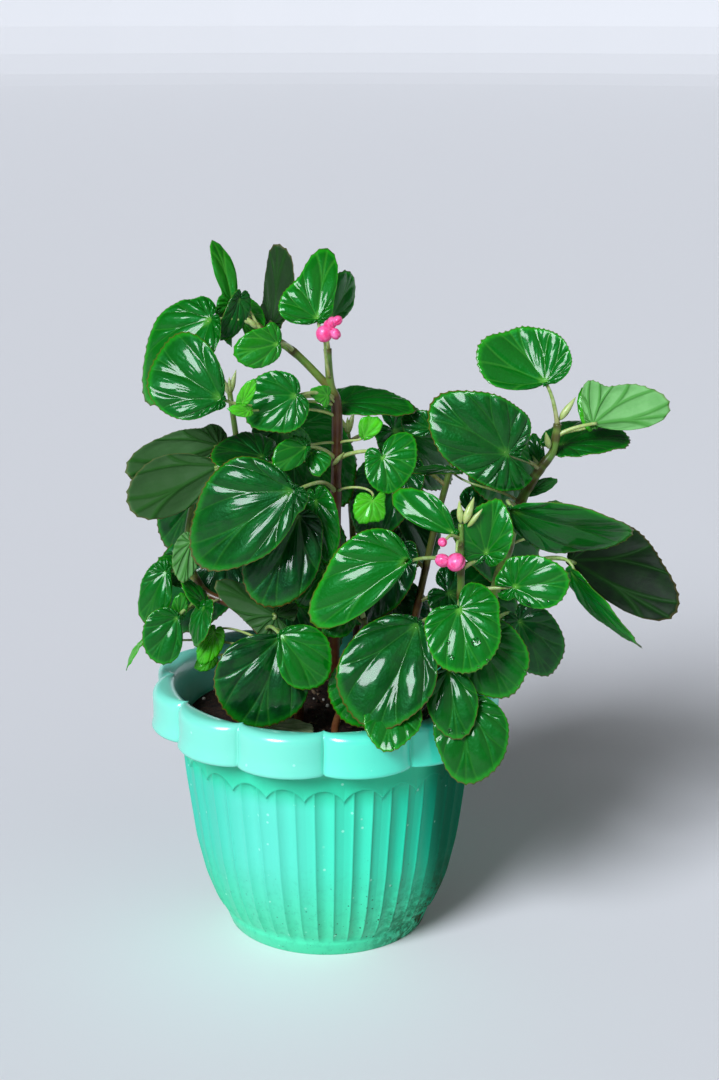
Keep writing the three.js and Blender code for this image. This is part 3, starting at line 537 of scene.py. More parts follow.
mainFoot = (4, 16)
mainStem = {
    "name": "main_stem",
    "stems": [
        {"path": rooted(mainFoot, [[5, 250, 12], [5, 305, 8], [2, 314, 8], [0, 336, 8]]),
         "foot": 4.4, "tip": 2.2},
        {"path": [[2, 312, 8], [-20, 334, 12], [-35, 344, 16], [-42, 350, 18]], "foot": 2.6, "tip": 1.8},
    ],
    "leaves": [
        [[-57, 363, 24], [-64, 400, 30], 36,
         {"roll": 15, "twist": 20, "reach": [37, 11, 9, 10, 13, 19, 26, 24, 19, 12, 9, 9]}],
        [[-70, 354, 4], [-113, 315, -12], 38,
         {"roll": 30, "cup": -0.2, "droop": 0.2, "reach": [56, 34, 18, 9, 6, 5, 5, 8, 14, 18, 28, 40]}],
        [[-64, 306, -24], [-107, 333, -14], 54, {"reach": [45, 39, 24, 9, 6, 5, 4, 3, 3, 4, 16, 42]}],
        [[-34, 350, 36], [-24, 396, 48], 42,
         {"roll": 130, "reach": [45, 30, 12, 8, 6, 6, 5, 7, 8, 10, 16, 22]}],
        [[-6, 354, 6], [-1, 396, 20], 36, {"roll": -6, "reach": [42, 26, 24, 21, 8, 3, 2, 3, 4, 5, 9, 16]}],
        [[2, 355, 22], [18, 380, 34], 28, {"roll": 30, "reach": [29, 24, 16, 8, 4, 3, 3, 3, 4, 5, 8, 17]}],
        [[-30, 339, -8], [-54, 333, -16], 24, {"reach": [24, 19, 11, 6, 3, 2, 2, 3, 7, 12, 12, 19]}],
        [[-19, 308, -18], [-45, 293, -24], 36,
         {"roll": 12, "reach": [30, 23, 19, 13, 8, 4, 3, 5, 10, 16, 23, 28]}],
        [[-51, 304, -30], [-44, 316, -34], 8, {"fold": 0.2}],
        [[-47, 299, -28], [-58, 300, -34], 7, {"fold": 0.2}],
        [[0, 308, -2], [-10, 310, -8], 10, {"reach": [11, 8, 6, 7, 4, 2, 2, 2, 3, 5, 6, 8]}],
        [[7, 303, 24], [49, 306, 20], 31, {"roll": -58}],
        [[-13, 277, -14], [-29, 265, -28], 21, {"reach": [22, 12, 4, 3, 3, 3, 3, 3, 5, 7, 11, 18]}],
        [[-13, 279, -10], [-19, 288, -14], 9, {}],
        [[-10, 274, -6], [-7, 260, -18], 14, {"reach": [15, 14, 12, 4, 3, 2, 2, 2, 2, 3, 4, 8]}],
        [[-21, 251, -44], [-75, 215, -54], 64,
         {"roll": 13, "reach": [65, 42, 17, 12, 10, 7, 5, 4, 5, 16, 39, 53]}],
        [[-7, 245, -16], [-3, 209, -30], 22, {"roll": 20}],
        [[33, 271, -14], [39, 248, -26], 31, {"reach": [21, 19, 19, 20, 20, 11, 3, 8, 10, 10, 13, 18]}],
        [[22, 283, -4], [27, 295, -6], 12, {"reach": [12.5, 11, 5, 3, 2, 2, 2, 2, 2, 3, 6, 13]}],
        [[27, 245, -32], [20, 233, -38], 19, {"reach": [14, 12, 12, 8, 7, 8, 5, 2, 4, 8, 10, 12]}],
        [[-17, 236, -26], [-40, 182, -52], 46, {"reach": [53, 40, 21, 14, 9, 6, 4, 6, 8, 12, 22, 40]}],
        [[-53, 366, 14], [-61, 342, 6], 15, {"roll": -30, "fold": 0.3}],
        [[-39, 271, -8], [-71, 280, -14], 36,
         {"roll": 50, "reach": [28, 30, 20, 10, 6, 4, 3, 5, 15, 18, 20, 22]}],
    ],
    "stalks": [
        {"path": [[1, 319, 6], [-1, 332, 2]], "bud": [-2, 345, -6, 4.8]},
    ],
}

leftFoot = (-16, -12)
leftStem = {
    "name": "left_stem",
    "stems": [
        {"path": rooted(leftFoot, [[-39, 165, -16], [-57, 182, -10], [-74, 191, -4], [-84, 215, 2],
            [-80, 250, 8]]), "foot": 3.4, "tip": 1.8},
    ],
    "leaves": [
        [[-65, 278, 16], [-119, 260, 2], 42,
         {"roll": 180, "reach": [55, 30, 15, 13, 10, 7, 4, 5, 5, 5, 6, 8]}],
        [[-65, 266, 4], [-113, 239, -10], 40,
         {"roll": 180, "reach": [57, 41, 10, 7, 6, 5, 4, 4, 4, 5, 9, 24]}],
        [[-82, 220, -8], [-87, 197, -16], 16, {"roll": 170}],
        [[-97, 202, -4], [-112, 173, -12], 22,
         {"roll": 20, "reach": [31, 21, 7, 4, 3, 4, 6, 8, 8, 9, 12, 19]}],
        [[-85, 199, 12], [-99, 212, 14], 22, {"roll": 40}],
        [[-90, 175, -22], [-107, 149, -32], 30, {"reach": [28, 24, 4, 2, 2, 2, 2, 3, 5, 10, 16, 22]}],
        [[-112, 159, -14], [-123, 146, -18], 14, {"roll": 78}],
        [[-89, 176, -16], [-87, 188, -18], 9, {}],
        [[-73, 182, -12], [-84, 197, -18], 14, {"roll": 50}],
        [[-74, 181, -20], [-82, 160, -30], 18, {"roll": 50}],
        [[-68, 166, -18], [-76, 148, -26], 14, {}],
        [[-69, 151, -10], [-79, 145, -14], 10, {}],
        [[-31, 176, -26], [-60, 193, -16], 44,
         {"roll": 180, "reach": [37, 7, 4, 6, 13, 12, 10, 11, 12, 14, 15, 21]}],
        [[-28, 164, -58], [-3, 132, -72], 37, {"reach": [35, 30, 21, 9, 4, 3, 2, 2, 2, 3, 5, 26]}],
        [[-28, 163, -46], [-44, 108, -68], 53, {"reach": [51, 42, 22, 8, 4, 3, 2, 2, 3, 6, 32, 48]}],
    ],
}

flowerFoot = (46, -20)
flowerStem = {
    "name": "flower_stem",
    "stems": [
        {"path": rooted(flowerFoot, [[80, 172, -38], [80, 190, -44], [80, 210, -46], [80, 231, -46]]),
         "foot": 3.6, "tip": 1.6},
    ],
    "leaves": [
        [[49, 209, -60], [-7, 171, -72], 50,
         {"roll": 10, "reach": [60, 8, 3, 2, 2, 2, 2, 2, 4, 20, 33, 45]}],
        [[76, 225, -48], [40, 245, -40], 32, {"reach": [39, 4, 3, 2, 2, 2, 2, 2, 3, 3, 5, 26]}],
        [[95, 213, -42], [102, 243, -44], 28, {"fold": 0.45}],
        [[79, 180, -72], [87, 141, -94], 46, {"reach": [34, 31, 23, 21, 19, 15, 3, 3, 6, 17, 24, 32]}],
        [[112, 193, -54], [144, 197, -66], 37, {"reach": [30, 25, 19, 16, 12, 12, 11, 10, 8, 6, 13, 25]}],
        [[54, 171, -70], [29, 109, -104], 54,
         {"roll": 10, "reach": [60, 41, 12, 4, 3, 3, 3, 4, 6, 15, 33, 55]}],
    ],
    "stalks": [
        {"path": [[80, 218, -46], [78, 220, -54]], "bud": [77, 208, -62, 5.4]},
        {"path": [[80, 222, -46], [74, 224, -52]], "bud": [69, 220, -58, 2.7]},
    ],
}

rightFoot = (52, 14)
rightStem = {
    "name": "right_stem",
    "stems": [
        {"path": rooted(rightFoot, [[92, 173, 2], [106, 209, 0], [114, 239, 0], [121, 254, 0],
            [129, 266, 0], [135, 274, 0], [137, 283, 0], [138, 291, 0]]), "foot": 4, "tip": 2.2},
    ],
    "leaves": [
        [[131, 316, 0], [110, 343, 20], 60,
         {"roll": 10, "cup": 0.2, "droop": 0, "reach": [36, 41, 30, 4, 3, 2, 2, 3, 9, 18, 25, 30]}],
        [[108, 273, -22], [64, 301, -22], 52, {"reach": [49, 38, 25, 21, 21, 21, 18, 8, 12, 22, 29, 39]}],
        [[159, 291, 2], [203, 296, 4], 33,
         {"roll": 180, "reach": [41, 4, 3, 3, 2, 2, 3, 5, 9, 24, 23, 35]}],
        [[140, 278, 10], [180, 289, 18], 38, {"roll": -55}],
        [[109, 240, -32], [180, 215, -42], 47,
         {"roll": 50, "reach": [69, 38, 7, 4, 3, 2, 2, 2, 3, 5, 19, 46]}],
        [[146, 209, 8], [201, 177, 4], 50,
         {"roll": 180, "reach": [64, 8, 4, 3, 3, 3, 3, 4, 8, 18, 39, 52]}],
        [[146, 203, -26], [176, 153, -34], 30, {"roll": 68, "heel": 0.06}],
        [[133, 230, 14], [137, 245, 16], 18, {"roll": 180}],
        [[127, 269, 16], [124, 285, 20], 9, {}],
        [[121, 250, 4], [138, 257, 6], 8, {}],
        [[62, 288, 26], [45, 296, 28], 24, {"reach": [18, 15, 8, 4, 3, 3, 3, 3, 6, 9, 10, 13]}],
        [[75, 263, 22], [51, 266, 20], 20, {"roll": 75}],
        [[159, 292, 6], [155, 313, 10], 12, {}],
    ],
}

frontFoot = (6, -46)
frontStem = {
    "name": "front_stem",
    "stems": [
        {"path": rooted(frontFoot, [[22, 150, -48], [22, 175, -44]]), "foot": 3, "tip": 1.8},
    ],
    "leaves": [
        [[31, 145, -58], [4, 112, -70], 48, {"reach": [35, 33, 28, 20, 12, 8, 4, 8, 12, 16, 21, 30]}],
        [[38, 125, -82], [36, 95, -107], 32, {"reach": [29, 25, 20, 14, 10, 8, 4, 8, 10, 13, 16, 23]}],
        [[10, 178, -46], [-1, 166, -54], 18, {}],
        [[-2, 203, -24], [-17, 182, -30], 20, {}],
    ],
}

cornerFoot = (50, -50)
cornerStem = {
    "name": "corner_stem",
    "stems": [
        {"path": rooted(cornerFoot, [[80, 140, -52], [92, 160, -50]]), "foot": 3, "tip": 1.8},
    ],
    "leaves": [
        [[88, 164, -62], [110, 129, -80], 43, {"reach": [37, 34, 24, 16, 12, 10, 5, 9, 12, 14, 22, 31]}],
        [[73, 144, -72], [78, 101, -94], 32, {"reach": [38, 26, 11, 6, 4, 3, 2, 3, 4, 6, 12, 27]}],
        [[83, 123, -76], [83, 76, -98], 43, {"reach": [42, 37, 27, 16, 9, 6, 3, 5, 7, 12, 20, 30]}],
        [[115, 173, 4], [132, 140, -4], 34, {}],
    ],
}

# Stems behind, which the photo hides: their leaves leave them to the left and the right by turns, hang a
# little and face the light in front
backSet = {"leaves": 5, "lowest": 172, "step": 25, "belowTop": 12, "stalk": (18, 30), "stalkRise": (6, 14),
           "length": (42, 56), "share": (0.9, 1.05), "skew": (-0.2, 0.2), "forward": (-0.4, 0.2),
           "dip": (0.5, 1.1), "light": np.array([0, -0.8, 0.6]), "aside": 0.25, "tip": 1.8}


def backStem(name, foot, radius, lean, height, seed):
    draw = drawer(seed)

    def at(z):
        rise = ((z - soilTop) / (height - soilTop)) ** 1.4
        return np.array([foot[0] + lean[0] * rise, foot[1] + lean[1] * rise, z])

    worldLeaves = []
    for i in range(backSet["leaves"]):
        way = unit(np.array([(-1) ** i, draw(*backSet["forward"]), 0]))
        level = min(backSet["lowest"] + i * backSet["step"], height - backSet["belowTop"])
        base = at(level) + way * draw(*backSet["stalk"])
        base[2] += draw(*backSet["stalkRise"])
        length = draw(*backSet["length"])
        dip = draw(*backSet["dip"])
        tip = base + way * length * math.cos(dip) - np.array([0, 0, length * math.sin(dip)])
        facing = unit(backSet["light"] + way * backSet["aside"])
        options = {"skew": draw(*backSet["skew"]), "phase": draw(0, fullTurn)}
        worldLeaves.append((base, tip, facing, length * draw(*backSet["share"]), options))
    path = rooted(foot, [at(soilTop + (height - soilTop) * t) for t in (0.3, 0.65, 1)])
    stems = [{"path": path, "foot": radius, "tip": backSet["tip"]}]
    return {"name": name, "stems": stems, "leaves": [], "worldLeaves": worldLeaves}


plants = [
    mainStem,
    leftStem,
    flowerStem,
    rightStem,
    frontStem,
    cornerStem,
    backStem("back_left_stem", (-38, 36), 3.4, (-20, 40), 300, 9),
    backStem("back_middle_stem", (18, 58), 3.4, (-6, 34), 272, 65),
    backStem("back_right_stem", (48, 46), 3.4, (34, 16), 290, 130),
]

# How young each leaf is, in the order of the tables: 0 is old and dark, 1 young and yellow-green. Some low
# tones are painted shade rather than age: they darken leaves that lie in the shadow of others, such as the
# main stem's leaf behind its large lower leaf, and some undersides in shade
leafTones = {
    "main_stem": [0.6, 0.42, 0.3, 0.15, 0.55, 0.35, 0.6, 0.35, 0.95, 1.0, 0.7, 0.3, 0.5, 0.5, 0.4, 0.16, 0.45,
                  0.5, 0.95, 0.85, 0.0, 0.2, 0.15],
    "left_stem": [0.34, 0.3, 0.6, 0.35, 0.35, 0.3, 0.8, 0.6, 0.5, 0.3, 0.8, 0.8, 0.3, 0.4, 0.05],
    "flower_stem": [0.4, 0.45, 0.5, 0.45, 0.45, 0.15],
    "right_stem": [0.5, 0.2, 0.85, 0.25, 0.3, 0.0, 0.45, 0.7, 0.2, 0.4, 0.2, 0.3, 0.8],
    "front_stem": [0.35, 0.4, 0.5, 0.5],
    "corner_stem": [0.3, 0.25, 0.3, 0.1],
}
# low tones, which darken the back stems' leaves as painted shade
backTones = [0.1, 0.05, 0.15, 0.1, 0.25]
# for each stem of a plant, from 0, brown all the way, to 1, green all the way, and for its leaf stalks
stemTones = {"main_stem": [0.1, 0.95], "left_stem": [0.1], "flower_stem": [0.3], "right_stem": [0.72]}
stalkTones = {"main_stem": 0.8, "left_stem": 0.45, "flower_stem": 0.5, "right_stem": 0.5}
otherStemTones, otherStalkTone, youngLeaf, youngStalk = [0.15], 0.4, 0.6, 0.3


def leavesOf(plant):
    # leaves given by picture places face the camera before their roll, and those of the back stems the light
    shown = []
    for base, tip, width, options in plant["leaves"]:
        start = seen(base)
        shown.append((start, seen(tip), unit(eye - start), width, options))
    return shown + plant.get("worldLeaves", [])


def stalkCurve(base, axes, size, curves):
    # the stalk leaves the nearest stem, and comes up to the blade from behind as a cubic Bezier
    axis, _, normal, length = axes
    steps = np.arange(8, 41) / 40
    best = math.inf
    for index, curve in enumerate(curves):
        points = curve(steps)
        cost = np.linalg.norm(points - base, axis=1) + 1.2 * np.maximum(0, points[:, 2] - base[2] + 8)
        nearest = int(np.argmin(cost))
        if cost[nearest] < best:
            best, start, joint = cost[nearest], points[nearest], (index, steps[nearest])
    reach = np.linalg.norm(base - start)
    approach = unit(-0.75 * axis - 0.65 * normal)
    bends = [
        start,
        start + (base - start) * 0.25 + np.array([0, 0, reach * stalkSet["rise"]]),
        base + approach * reach * 0.35,
        base + axis * length * stalkSet["ahead"] - normal * stalkSet["under"] * stalkSet["tip"] * size,
    ]
    t = np.linspace(0, 1, stalkSet["samples"])[:, None]
    weights = [(1 - t) ** 3, 3 * t * (1 - t) ** 2, 3 * t**2 * (1 - t), t**3]
    return sum(weight * bend for weight, bend in zip(weights, bends)), joint


def stalk(path, size, tone):
    # a round stalk, a little swollen where it leaves the stem and where it meets the blade
    t = np.linspace(0, 1, len(path))
    swell = 1 + 0.3 * np.exp(-((t / 0.07) ** 2)) + 0.2 * np.exp(-(((1 - t) / 0.06) ** 2))
    radii = (stalkSet["foot"] + (stalkSet["tip"] - stalkSet["foot"]) * t) * stalkSet["round"] * size * swell
    return tube(path, radii, stalkSet["sides"], stalkSide, tone)


def stemTube(curve, stem, joints, tone):
    # a jointed stem: its radius runs evenly from foot to tip, and swells where each leaf stalk leaves it
    t = np.linspace(0, 1, (len(stem["path"]) - 1) * stemSet["perStretch"] + 1)
    path = curve(t)
    along = np.concatenate([[0], np.cumsum(np.linalg.norm(np.diff(path, axis=0), axis=1))])
    swell = np.zeros(len(t))
    for joint in joints:
        swell = np.maximum(swell, np.exp(-(((along - np.interp(joint, t, along)) / stemSet["swellMm"]) ** 2)))
    radii = (stem["foot"] + (stem["tip"] - stem["foot"]) * t) * stemSet["round"]
    return tube(path, radii * (1 + stemSet["swell"] * swell), stemSet["sides"], stemSide, tone, swell)


def spike(start, end, radius, tone):
    # a folded young leaf or a stipule: thickest a third of the way up, and pointed
    t = np.linspace(0, 1, 12)
    path = start + (end - start) * t[:, None]
    return tube(path, radius * np.sin(math.pi * t**0.7) + 0.15, 8, stalkSide, tone)


# Folded young leaves and stipules: foot and tip as across, up and back, then radius and tone
spikes = {
    "main_stem": [((1, 336, 6), (-2, 346, 8), 1.0, 0.5), ((3, 266, 8), (10, 274, 6), 1.2, 0.7),
                  ((-42, 348, 16), (-50, 356, 14), 1.5, 0.9)],
    "right_stem": [((139, 293, 2), (149, 307, 4), 1.9, 0.95), ((128, 262, 0), (123, 272, 2), 1.6, 0.2),
                   ((133, 276, -2), (131, 286, -4), 1.8, 0.8)],
    "flower_stem": [((80, 231, -46), (79, 245, -46), 1.8, 0.95), ((82, 231, -47), (88, 247, -44), 2.2, 0.95),
                    ((84, 229, -46), (93, 240, -46), 1.4, 0.8)],
    "corner_stem": [((92, 158, -50), (96, 168, -52), 1.5, 0.8)],
    "front_stem": [((22, 173, -44), (19, 183, -46), 1.5, 0.8)],
    "left_stem": [((-80, 248, 8), (-82, 258, 8), 1.6, 0.8)],
}
# the growing tips of a back stem start a little under its top; their ends are given from its top
backSpikes = {"sunk": 2, "ends": ((-5, -2, 11), (4, 2, 13), (0, 0, 9)), "radius": 1.7, "tone": 0.8}


def budStalk(plan):
    # a thin stalk that ends a little short of its bud
    across, up, back, radius = plan["bud"]
    centre = seen((across, up, back))
    points = [seen(p) for p in plan["path"]]
    points.append(centre + unit(points[-1] - centre) * (radius + 0.35))
    return tube(curveThrough(points)(np.linspace(0, 1, 14)), np.linspace(1.0, 0.75, 14), 10, stalkSide, 0.55)


bladePlaces = {}


def buildPlant(plant, seed):
    name = plant["name"]
    curves = []
    for stem in plant["stems"]:
        # a foot and a back stem are given in the model's own places, the rest by places in the picture
        places = [place if isinstance(place, np.ndarray) else seen(place) for place in stem["path"]]
        curves.append(curveThrough(places))
    joints = [[] for _ in curves]
    parts = []
    for i, (base, tip, towards, width, options) in enumerate(leavesOf(plant)):
        form = {**leafDefaults, **options}
        axes = bladeFrame(base, tip, towards, form)
        size = stalkSet["smallScale"] if width <= stalkSet["smallLeaf"] else 1
        path, (index, joint) = stalkCurve(base, axes, size, curves)
        joints[index].append(joint)
        tone = leafTones.get(name, backTones)[i]
        leaf, bladePlaces[name, i] = blade(base, axes, width, form, tone, seed + i)
        paler = youngStalk if tone > youngLeaf else 0
        parts += [leaf, stalk(path, size, stalkTones.get(name, otherStalkTone) + paler)]
    for curve, stem, own, tone in zip(curves, plant["stems"], joints, stemTones.get(name, otherStemTones)):
        parts.append(stemTube(curve, stem, own, tone))
    parts += [budStalk(plan) for plan in plant.get("stalks", [])]
    parts += [spike(seen(a), seen(b), radius, tone) for a, b, radius, tone in spikes.get(name, [])]
    if plant.get("worldLeaves"):
        top = plant["stems"][0]["path"][-1]
        start = top - (0, 0, backSpikes["sunk"])
        for end in backSpikes["ends"]:
            parts.append(spike(start, top + end, backSpikes["radius"], backSpikes["tone"]))
    makePiece(name + "_finished", parts, plantFinishes, name)


for number, plant in enumerate(plants):
    buildPlant(plant, 100 * number + 11)


# Buds
budGroups = {
    "upper_buds": [(-2, 345, -6, 4.8), (3, 352, -6, 3.2), (6, 353, -7, 3), (4.6, 345, -7, 3.4),
                   (1, 350, -4, 3.4)],
    "lower_buds": [(77, 208, -62, 5.4), (69, 209, -61, 4.2)],
    "small_bud": [(69, 220, -58, 2.7)],
}
budSet = {"rows": 21, "columns": 33, "sides": (1.02, 0.86, 0.96), "groove": 0.12, "grooveWide": 0.16}


def petalSkin():
    # closed begonia buds: soft satin pink petals, with painted shade deepening the pink in the groove where
    # they meet
    material, node, finish, place = begin("begonia petal, satin pink")
    paler = node("MapRange", node("TexNoise", place, 1000 / 3, 4, 0.55), 0.3, 0.7)
    # painted shade: deeper pink along the groove between the petals
    folded = node("MapRange", node("Attribute", attribute_name="reach"), 0.1, 0.9, 0, 0.7)
    pink = node("Mix", folded, node("Mix", paler, "#E8387E", "#FA74B0"), "#A80E4A")
    bump = node("Bump", node("TexNoise", place, 1000 / 0.9, 3, 0.55), 0.15 * mm, 0.4)
    finish({"Base Color": pink, "Normal": bump, "Roughness": 0.34, "IOR": 1.4, "Coat Weight": 0.3,
            "Coat Roughness": 0.15, "Subsurface Weight": 0.2, "Subsurface Scale": 3 * mm})
    return material


def bud(centre, radius, seed):
    # two rounded petals pressed together: an egg with a groove all round its edge
    egg, down, around = ball(budSet["rows"], budSet["columns"])
    groove = np.exp(-((np.sin(around) / budSet["grooveWide"]) ** 2)) * np.sin(down)
    egg = egg * budSet["sides"] * (radius * (1 - budSet["groove"] * groove))[..., None]
    turn = tumbled(np.random.default_rng(seed).normal(size=(3, 3)))
    return shell(centre + egg @ turn, 0, 0.0, groove.ravel())


petalFinish = petalSkin()
for number, (name, lobes) in enumerate(budGroups.items()):
    parts = [bud(seen(lobe[:3]), lobe[3], 40 * number + i) for i, lobe in enumerate(lobes)]
    makePiece(name + "_finished", parts, [petalFinish], name)


# Fallen leaf
fallenSet = {"base": (-36, -30, 130.3), "tip": (-8, -43, 130.3), "width": 27, "tone": 0.5, "seed": 5,
             "form": {"cup": 0, "fold": 0.04, "droop": 0, "wave": 0.02, "skew": 0.05}}


def dryLeaf():
    # a fallen leaf, dull and drained to grey-green, with brown specks
    material, node, finish, place = begin("fallen begonia leaf, dull grey-green")
    distance, _, _ = veinNodes(node)
    paler = node("MapRange", node("TexNoise", place, 1000 / 8, 4, 0.55), 0.3, 0.7)
    skin = node("Mix", paler, "#7F9A6A", "#A9B98C")
    skin = node("Mix", node("MapRange", distance, 0.2, 1, 0.5, 0), skin, "#5E7A4C")
    specks = node("MapRange", node("TexNoise", place, 1000 / 2.5, 4, 0.55), 0.66, 0.74)
    skin = node("Mix", specks, skin, "#6E5A3C")
    bump = node("Bump", node("TexNoise", place, 1000 / 2, 3, 0.55), 0.3 * mm, 0.5)
    finish({"Base Color": skin, "Normal": bump, "Roughness": 0.7, "IOR": 1.42})
    return material


def buildFallenLeaf():
    form = {**leafDefaults, **fallenSet["form"]}
    base, tip = np.array(fallenSet["base"], float), np.array(fallenSet["tip"], float)
    axes = bladeFrame(base, tip, (0, 0, 1), form)
    leaf, _ = blade(base, axes, fallenSet["width"], form, fallenSet["tone"], fallenSet["seed"])
    finish = dryLeaf()
    makePiece("fallen_leaf_finished", [leaf], [finish, finish], "fallen_leaf")


buildFallenLeaf()


# Pot. Its body's outline runs through heights and radii. The rows of the foot are radii and heights, those of
# the ledge lie out from its radius and up from the arcs, those of the band out from the petals' radius and up
# from the band's foot, and those of the opening out from its radius and up from the pot's top
potSet = {"height": 150, "wall": 2, "floor": 2.6, "columns": 960, "bodyRows": 26, "neck": 140.6}
foot = {"radius": 58, "dip": 0.6, "below": 0.9,
        "rows": ((0, 0), (55, 0), (57.5, 0), (58, 0.5), (60.5, 7), (60.6, 7.6))}
bodyHeights, bodyRadii = np.array([
    (0, 58.2), (10, 61.4), (20, 66.4), (32, 70.8), (55, 76.1), (95, 81.4), (126, 84.2), (142, 86),
]).T
flutes = {"count": 48, "depth": 2.2, "uneven": 0.3, "bottom": 9.4, "inset": 1.0, "round": 0.65, "fade": 0.05}
arcs = {"count": 24, "low": 105.5, "rise": 7, "ledge": 1.5, "under": 0.5, "top": 1.2,
        "rows": ((-0.5, -0.25), (0, 0.3), (-0.2, 1.2))}
rim = {"petals": 12, "notch": 94, "petal": 102, "drop": 24, "opening": 88, "inward": 91, "flat": 6.5,
       "rows": ((-5.4, 17.6), (-3.8, 15), (-2.2, 1), (-1.7, 0), (-0.6, 0), (0, 0.9), (-0.1, 2.4), (-0.9, 4.5),
                (-1, 10), (-0.9, 17)),
       "shoulder": {"out": -0.9, "wide": 4.8, "tall": 5.2, "rows": 7},
       "openingRows": ((0.6, -1.2), (-0.4, -2.6), (-2, -5))}


def bodyRadius(z):
    return np.interp(z, bodyHeights, bodyRadii)


def potPlastic():
    # injection-moulded polypropylene: mint, half gloss with a faint orange peel. Its colour holds painted
    # light
    # and shade: paler to the left, deeper to the right and darkest on the far right flank, greener under the
    # band as the rim's painted shadow and greener low down as painted light bounced up from below, pale dots
    # as painted glints of water beads, and painted shade on the side of each flute ridge away from the light.
    # It is also dusty low down with dark specks of soil splashed up by watering, and has a brown stain low on
    # one side. tone is 1 where the flute shade is painted
    material, node, finish, place = begin("moulded polypropylene, mint, half gloss")
    x, _, z = node("SeparateXYZ", place).outputs
    # the band's colour: paler to the left as painted light, deeper to the right as painted shade
    band = node("Mix", node("MapRange", x, -0.05, 0.06), "#79DFC8", "#43E8C6")
    # painted shade: the far right flank under the band turns almost black-green
    shaded = node("MapRange", x, 0.05, 0.066, 0, node("MapRange", z, 0.118, 0.13, 0.9, 0))
    # painted shade beside each flute ridge, stronger towards the right
    paintedFluteShadeByX = node("MapRange", x, -0.03, 0.045, 0.1, 0.85)
    paintedFluteShade = node("Math", node("Attribute", attribute_name="tone"), paintedFluteShadeByX, operation="MULTIPLY")
    dusty = node("MapRange", z, 0.005, 0.085, 0.4, 0)
    dust = node("MapRange", node("TexNoise", place, 1000 / 5, 6, 0.7), 0.45, 0.75, 0, dusty)
    stained = node("MapRange", z, 0, 0.06, node("MapRange", x, 0.015, 0.052), 0)
    stain = node("MapRange", node("TexNoise", place, 1000 / 6, 6, 0.7), 0.38, 0.6, 0, stained)
    # specks: cells of a pattern of random points, of which few are chosen and hold a dot in their middle
    dots = []
    for spacing, share in ((3.4, 0.72), (1.7, 0.8), (5.2, 0.86)):
        grain = node("TexVoronoi", place, 1000 / spacing)
        pick = node("SeparateColor", grain.outputs["Color"]).outputs[0]
        dots.append(node("MapRange", grain, 0.1, 0.2, node("MapRange", pick, share, share + 0.02), 0))
    sprayed = node("MapRange", z, 0.005, 0.085, node("MapRange", x, -0.05, 0.06, 0.45, 1.45), 0)
    speck = node("Math", node("Math", *dots[:2], operation="MAXIMUM"), sprayed, operation="MULTIPLY")
    # the body's colour by x: lightest a little left of the middle, darker towards the left edge and much
    # deeper to the right, as painted light and shade, which the first two layers below carry on
    mint = node("Mix", node("MapRange", x, -0.075, -0.035), "#3FC5AA", "#5DDAC2")
    for factor, colour in (
        (node("MapRange", x, -0.035, 0.02), "#3CDDB6"),
        (node("MapRange", x, 0.02, 0.05), "#0DC89E"),
        # painted light bounced up from below: greener low down
        (node("MapRange", z, 0.01, 0.075, 0.7, 0), "#45CE95"),
        # painted shadow of the rim: greener just under the band
        (node("MapRange", z, 0.098, 0.112, 0, 0.8), "#27CB9B"),
        (node("MapRange", z, 0.12, 0.128), band),
        # painted shade on the far right flank
        (shaded, "#06482E"),
        # painted shade on the side of each flute ridge away from the light
        (paintedFluteShade, "#06704C"),
        (dust, "#3A9A78"),
        (speck, "#123A26"),
        # pale dots painted as glints of water beads
        (node("Math", dots[2], 0.4, operation="MULTIPLY"), "#C8FFEE"),
        (stain, "#33301A"),
    ):
        mint = node("Mix", factor, mint, colour)
    dull = node("Math", node("Math", dust, stain, operation="ADD"), shaded, operation="ADD")
    rough = node("MapRange", z, 0.118, 0.126, 0.42, 0.26)
    rough = node("Math", rough, node("MapRange", dull, 0, 0.6, 0, 0.35), operation="ADD")
    glossy = node("MapRange", dull, 0, 0.8, node("MapRange", z, 0.118, 0.126, 0.4, 1), 0)
    bump = node("Bump", node("TexNoise", place, 1000 / 2.4, 2, 0.55), 0.06 * mm, 0.4)
    bump = node("Bump", speck, 0.2 * mm, 0.6, bump)
    finish({"Base Color": mint, "Roughness": rough, "Normal": bump, "IOR": 1.49, "Coat Roughness": 0.16,
            "Coat Weight": node("MapRange", glossy, 0, 1, 0, 0.5),
            "Specular IOR Level": node("MapRange", glossy, 0, 1, 0.1, 0.5), "Subsurface Weight": 0.05,
            "Subsurface Scale": 4 * mm, "Subsurface Radius": (0.3, 1, 0.8)})
    return material


